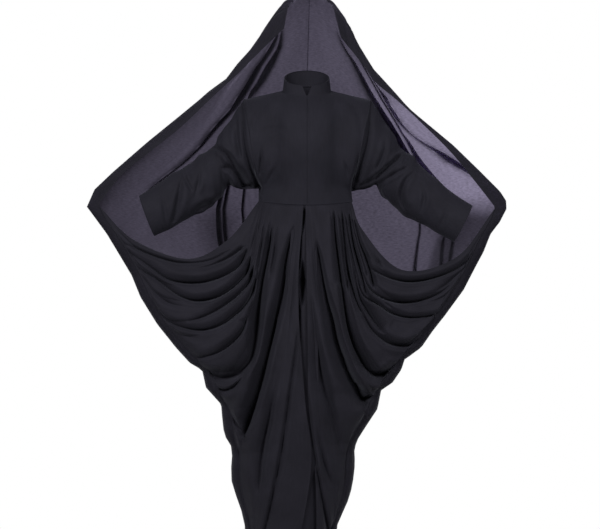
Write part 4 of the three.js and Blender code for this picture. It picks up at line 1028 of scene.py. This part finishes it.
def crepe(name, colour, see_through=False):
    """Fine dull crepe: a twisted grain both ways, a soft sheen, and stitches along hems."""
    material = bpy.data.materials.new(name)
    material.use_nodes = True
    tree = material.node_tree
    tree.nodes.clear()

    def maths(operation, *terms):
        return add(tree, "Math", enumerate(terms), operation=operation).outputs[0]

    def noise(vector, scale, detail, roughness):
        return add(tree, "TexNoise", {"Vector": vector, "Scale": scale, "Detail": detail,
                                      "Roughness": roughness}).outputs["Fac"]

    def threads(direction, scale, distortion):
        inputs = {"Vector": place, "Scale": scale, "Distortion": distortion, "Detail": 2.0}
        return add(tree, "TexWave", inputs, wave_type="BANDS",
                   bands_direction=direction).outputs["Fac"]

    def stretched(x, y):
        return add(tree, "Mapping", {"Vector": place, "Scale": (x, y, 1.0)}).outputs["Vector"]

    def stored(attribute):
        return add(tree, "Attribute", attribute_name=attribute).outputs["Fac"]

    place = add(tree, "UVMap", uv_map="cloth").outputs["UV"]
    weave = maths("MULTIPLY", threads("X", 520.0, 1.6), threads("Y", 460.0, 2.2))
    grain = noise(place, 900.0, 4.0, 0.6)
    streak = noise(stretched(260.0, 24.0), 1.0, 3.0, 0.55)
    cloudy = noise(place, 11.0, 3.0, 0.5)

    # A line of stitches inside each hem
    off_line = maths("ABSOLUTE", maths("SUBTRACT", stored("edge"), STITCHES["inside"]))
    on_line = ramp(tree, off_line, STITCHES["half_width"], STITCHES["fades"], 1.0, 0.0)
    height = maths("MULTIPLY_ADD", weave, 0.8, grain)
    height = maths("MULTIPLY_ADD", on_line, STITCHES["sunk"], height)
    bump = add(tree, "Bump", {"Height": height, "Strength": 0.32, "Distance": 0.00035})

    shade = add(tree, "ValToRGB", {"Fac": maths("MULTIPLY_ADD", streak, 0.5, cloudy)})
    for element, (position, share) in zip(shade.color_ramp.elements, SHADES):
        element.position, element.color = position, (*[share * c for c in colour], 1)
    surface = add(tree, "BsdfPrincipled", {
        "Base Color": shade.outputs["Color"], "Roughness": ramp(tree, grain, 0.2, 0.8, 0.68, 0.86),
        "Normal": bump.outputs["Normal"], "Specular IOR Level": 0.05, "Sheen Weight": 0.03,
        "Sheen Roughness": 0.45, "Sheen Tint": (0.8, 0.82, 1.0, 1)}).outputs["BSDF"]
    if see_through:
        # The stored share is the cloth's see-through, with painted shade beside the ridge, the
        # pleats and the free edge
        slub = ramp(tree, noise(stretched(330.0, 90.0), 1.0, 5.0, 0.7), 0.25, 0.75, 0.68, 1.32)
        lit_through = add(tree, "BsdfTranslucent", {"Color": (*GLOW, 1)}).outputs["BSDF"]
        surface = add(tree, "MixShader", {0: maths("MULTIPLY", stored("sheer_and_shade"), slub),
                                          1: surface, 2: lit_through}).outputs["Shader"]
    add(tree, "OutputMaterial", {"Surface": surface})
    return material


# Pieces
skirt_crepe = crepe("skirt_crepe", SKIRT_COLOUR)
bodice_crepe = crepe("bodice_crepe", BODICE_COLOUR)
sheet_crepe = crepe("sheet_crepe", [SHEET_DARKER * c for c in SKIRT_COLOUR], see_through=True)
for side, name in ((RIGHT, "right"), (LEFT, "left")):
    grid, sheer_and_shade = veil_half(side)
    shell(f"back_sheet_{name}", grid, sheet_crepe,
          hems=("i0", "i1", "j0"), sheer_and_shade=sheer_and_shade)
    shell(f"front_skirt_{name}", front_skirt(side), skirt_crepe, hems=("i0", "j1"))
    shell(f"bodice_front_{name}", bodice_front(side), bodice_crepe)
    shell(f"sleeve_{name}", sleeve(side), bodice_crepe, wrap=True, hems=("j1",))
shell("centre_pleat", centre_pleat(), skirt_crepe, hems=("j1",))
shell("bodice_back", bodice_back(), bodice_crepe)
shell("collar", collar(), bodice_crepe, half=HALF_COLLAR)

# Floor, light and camera
FLOOR = dict(radius=0.6, middle_y=0.02, z=HEM_Z * MM - 0.012, corners=96,
             colour=(0.7, 0.7, 0.69, 1), roughness=0.9)
LAMP_AIM, LAMP_SIZE = (0, 0, -0.6), 1.0


def floor():
    mesh = bpy.data.meshes.new("floor")
    radius, middle_y, z = (FLOOR[key] for key in ("radius", "middle_y", "z"))
    ring = [(radius * math.cos(a), radius * math.sin(a) + middle_y, z)
            for a in np.linspace(0, 2 * math.pi, FLOOR["corners"], endpoint=False)]
    mesh.from_pydata(ring, [], [list(range(FLOOR["corners"]))])
    disc = placed("floor", mesh)
    paint = bpy.data.materials.new("floor_paint")
    paint.use_nodes = True
    base = paint.node_tree.nodes["Principled BSDF"]
    base.inputs["Base Color"].default_value = FLOOR["colour"]
    base.inputs["Roughness"].default_value = FLOOR["roughness"]
    mesh.materials.append(paint)


def lamp(name, power, place):
    light = bpy.data.lights.new(name, "AREA")
    light.shape, light.size, light.energy = "SQUARE", LAMP_SIZE, power
    lit = placed(name, light)
    lit.location = place
    towards = np.array(LAMP_AIM) - np.array(place)
    yaw = math.atan2(towards[1], towards[0])
    pitch = math.atan2(towards[2], math.hypot(towards[0], towards[1]))
    lit.rotation_euler = (math.pi / 2 + pitch, 0, yaw - math.pi / 2)


def studio():
    """White all round the back, and less light from above and from the front."""
    world = bpy.data.worlds.new("studio")
    world.use_nodes = True
    tree = world.node_tree
    direction = add(tree, "TexCoord").outputs["Generated"]
    parts = add(tree, "SeparateXYZ", {"Vector": direction}).outputs
    front = ramp(tree, parts["Z"], -0.4, 0.4, 0.44, 0.36, "SMOOTHSTEP")
    strength = ramp(tree, parts["Y"], -0.15, 0.45, front, 1.0, "SMOOTHSTEP")
    background = tree.nodes["Background"]
    background.inputs["Color"].default_value = (1, 1, 1, 1)
    tree.links.new(strength, background.inputs["Strength"])
    bpy.context.scene.world = world
    bpy.context.scene.view_settings.view_transform = "Standard"


floor()
studio()
lamp("key", 132, (-1.5, -2.4, 0.5))
lamp("fill", 88, (1.5, -2.4, 0.5))

camera = placed("camera", bpy.data.cameras.new("camera"))
camera.location = [MM * value for value in SEEN_FROM]
camera.rotation_euler = (math.pi / 2, 0, 0)
camera.data.sensor_width = 36
camera.data.lens = 98.18
bpy.context.scene.camera = camera
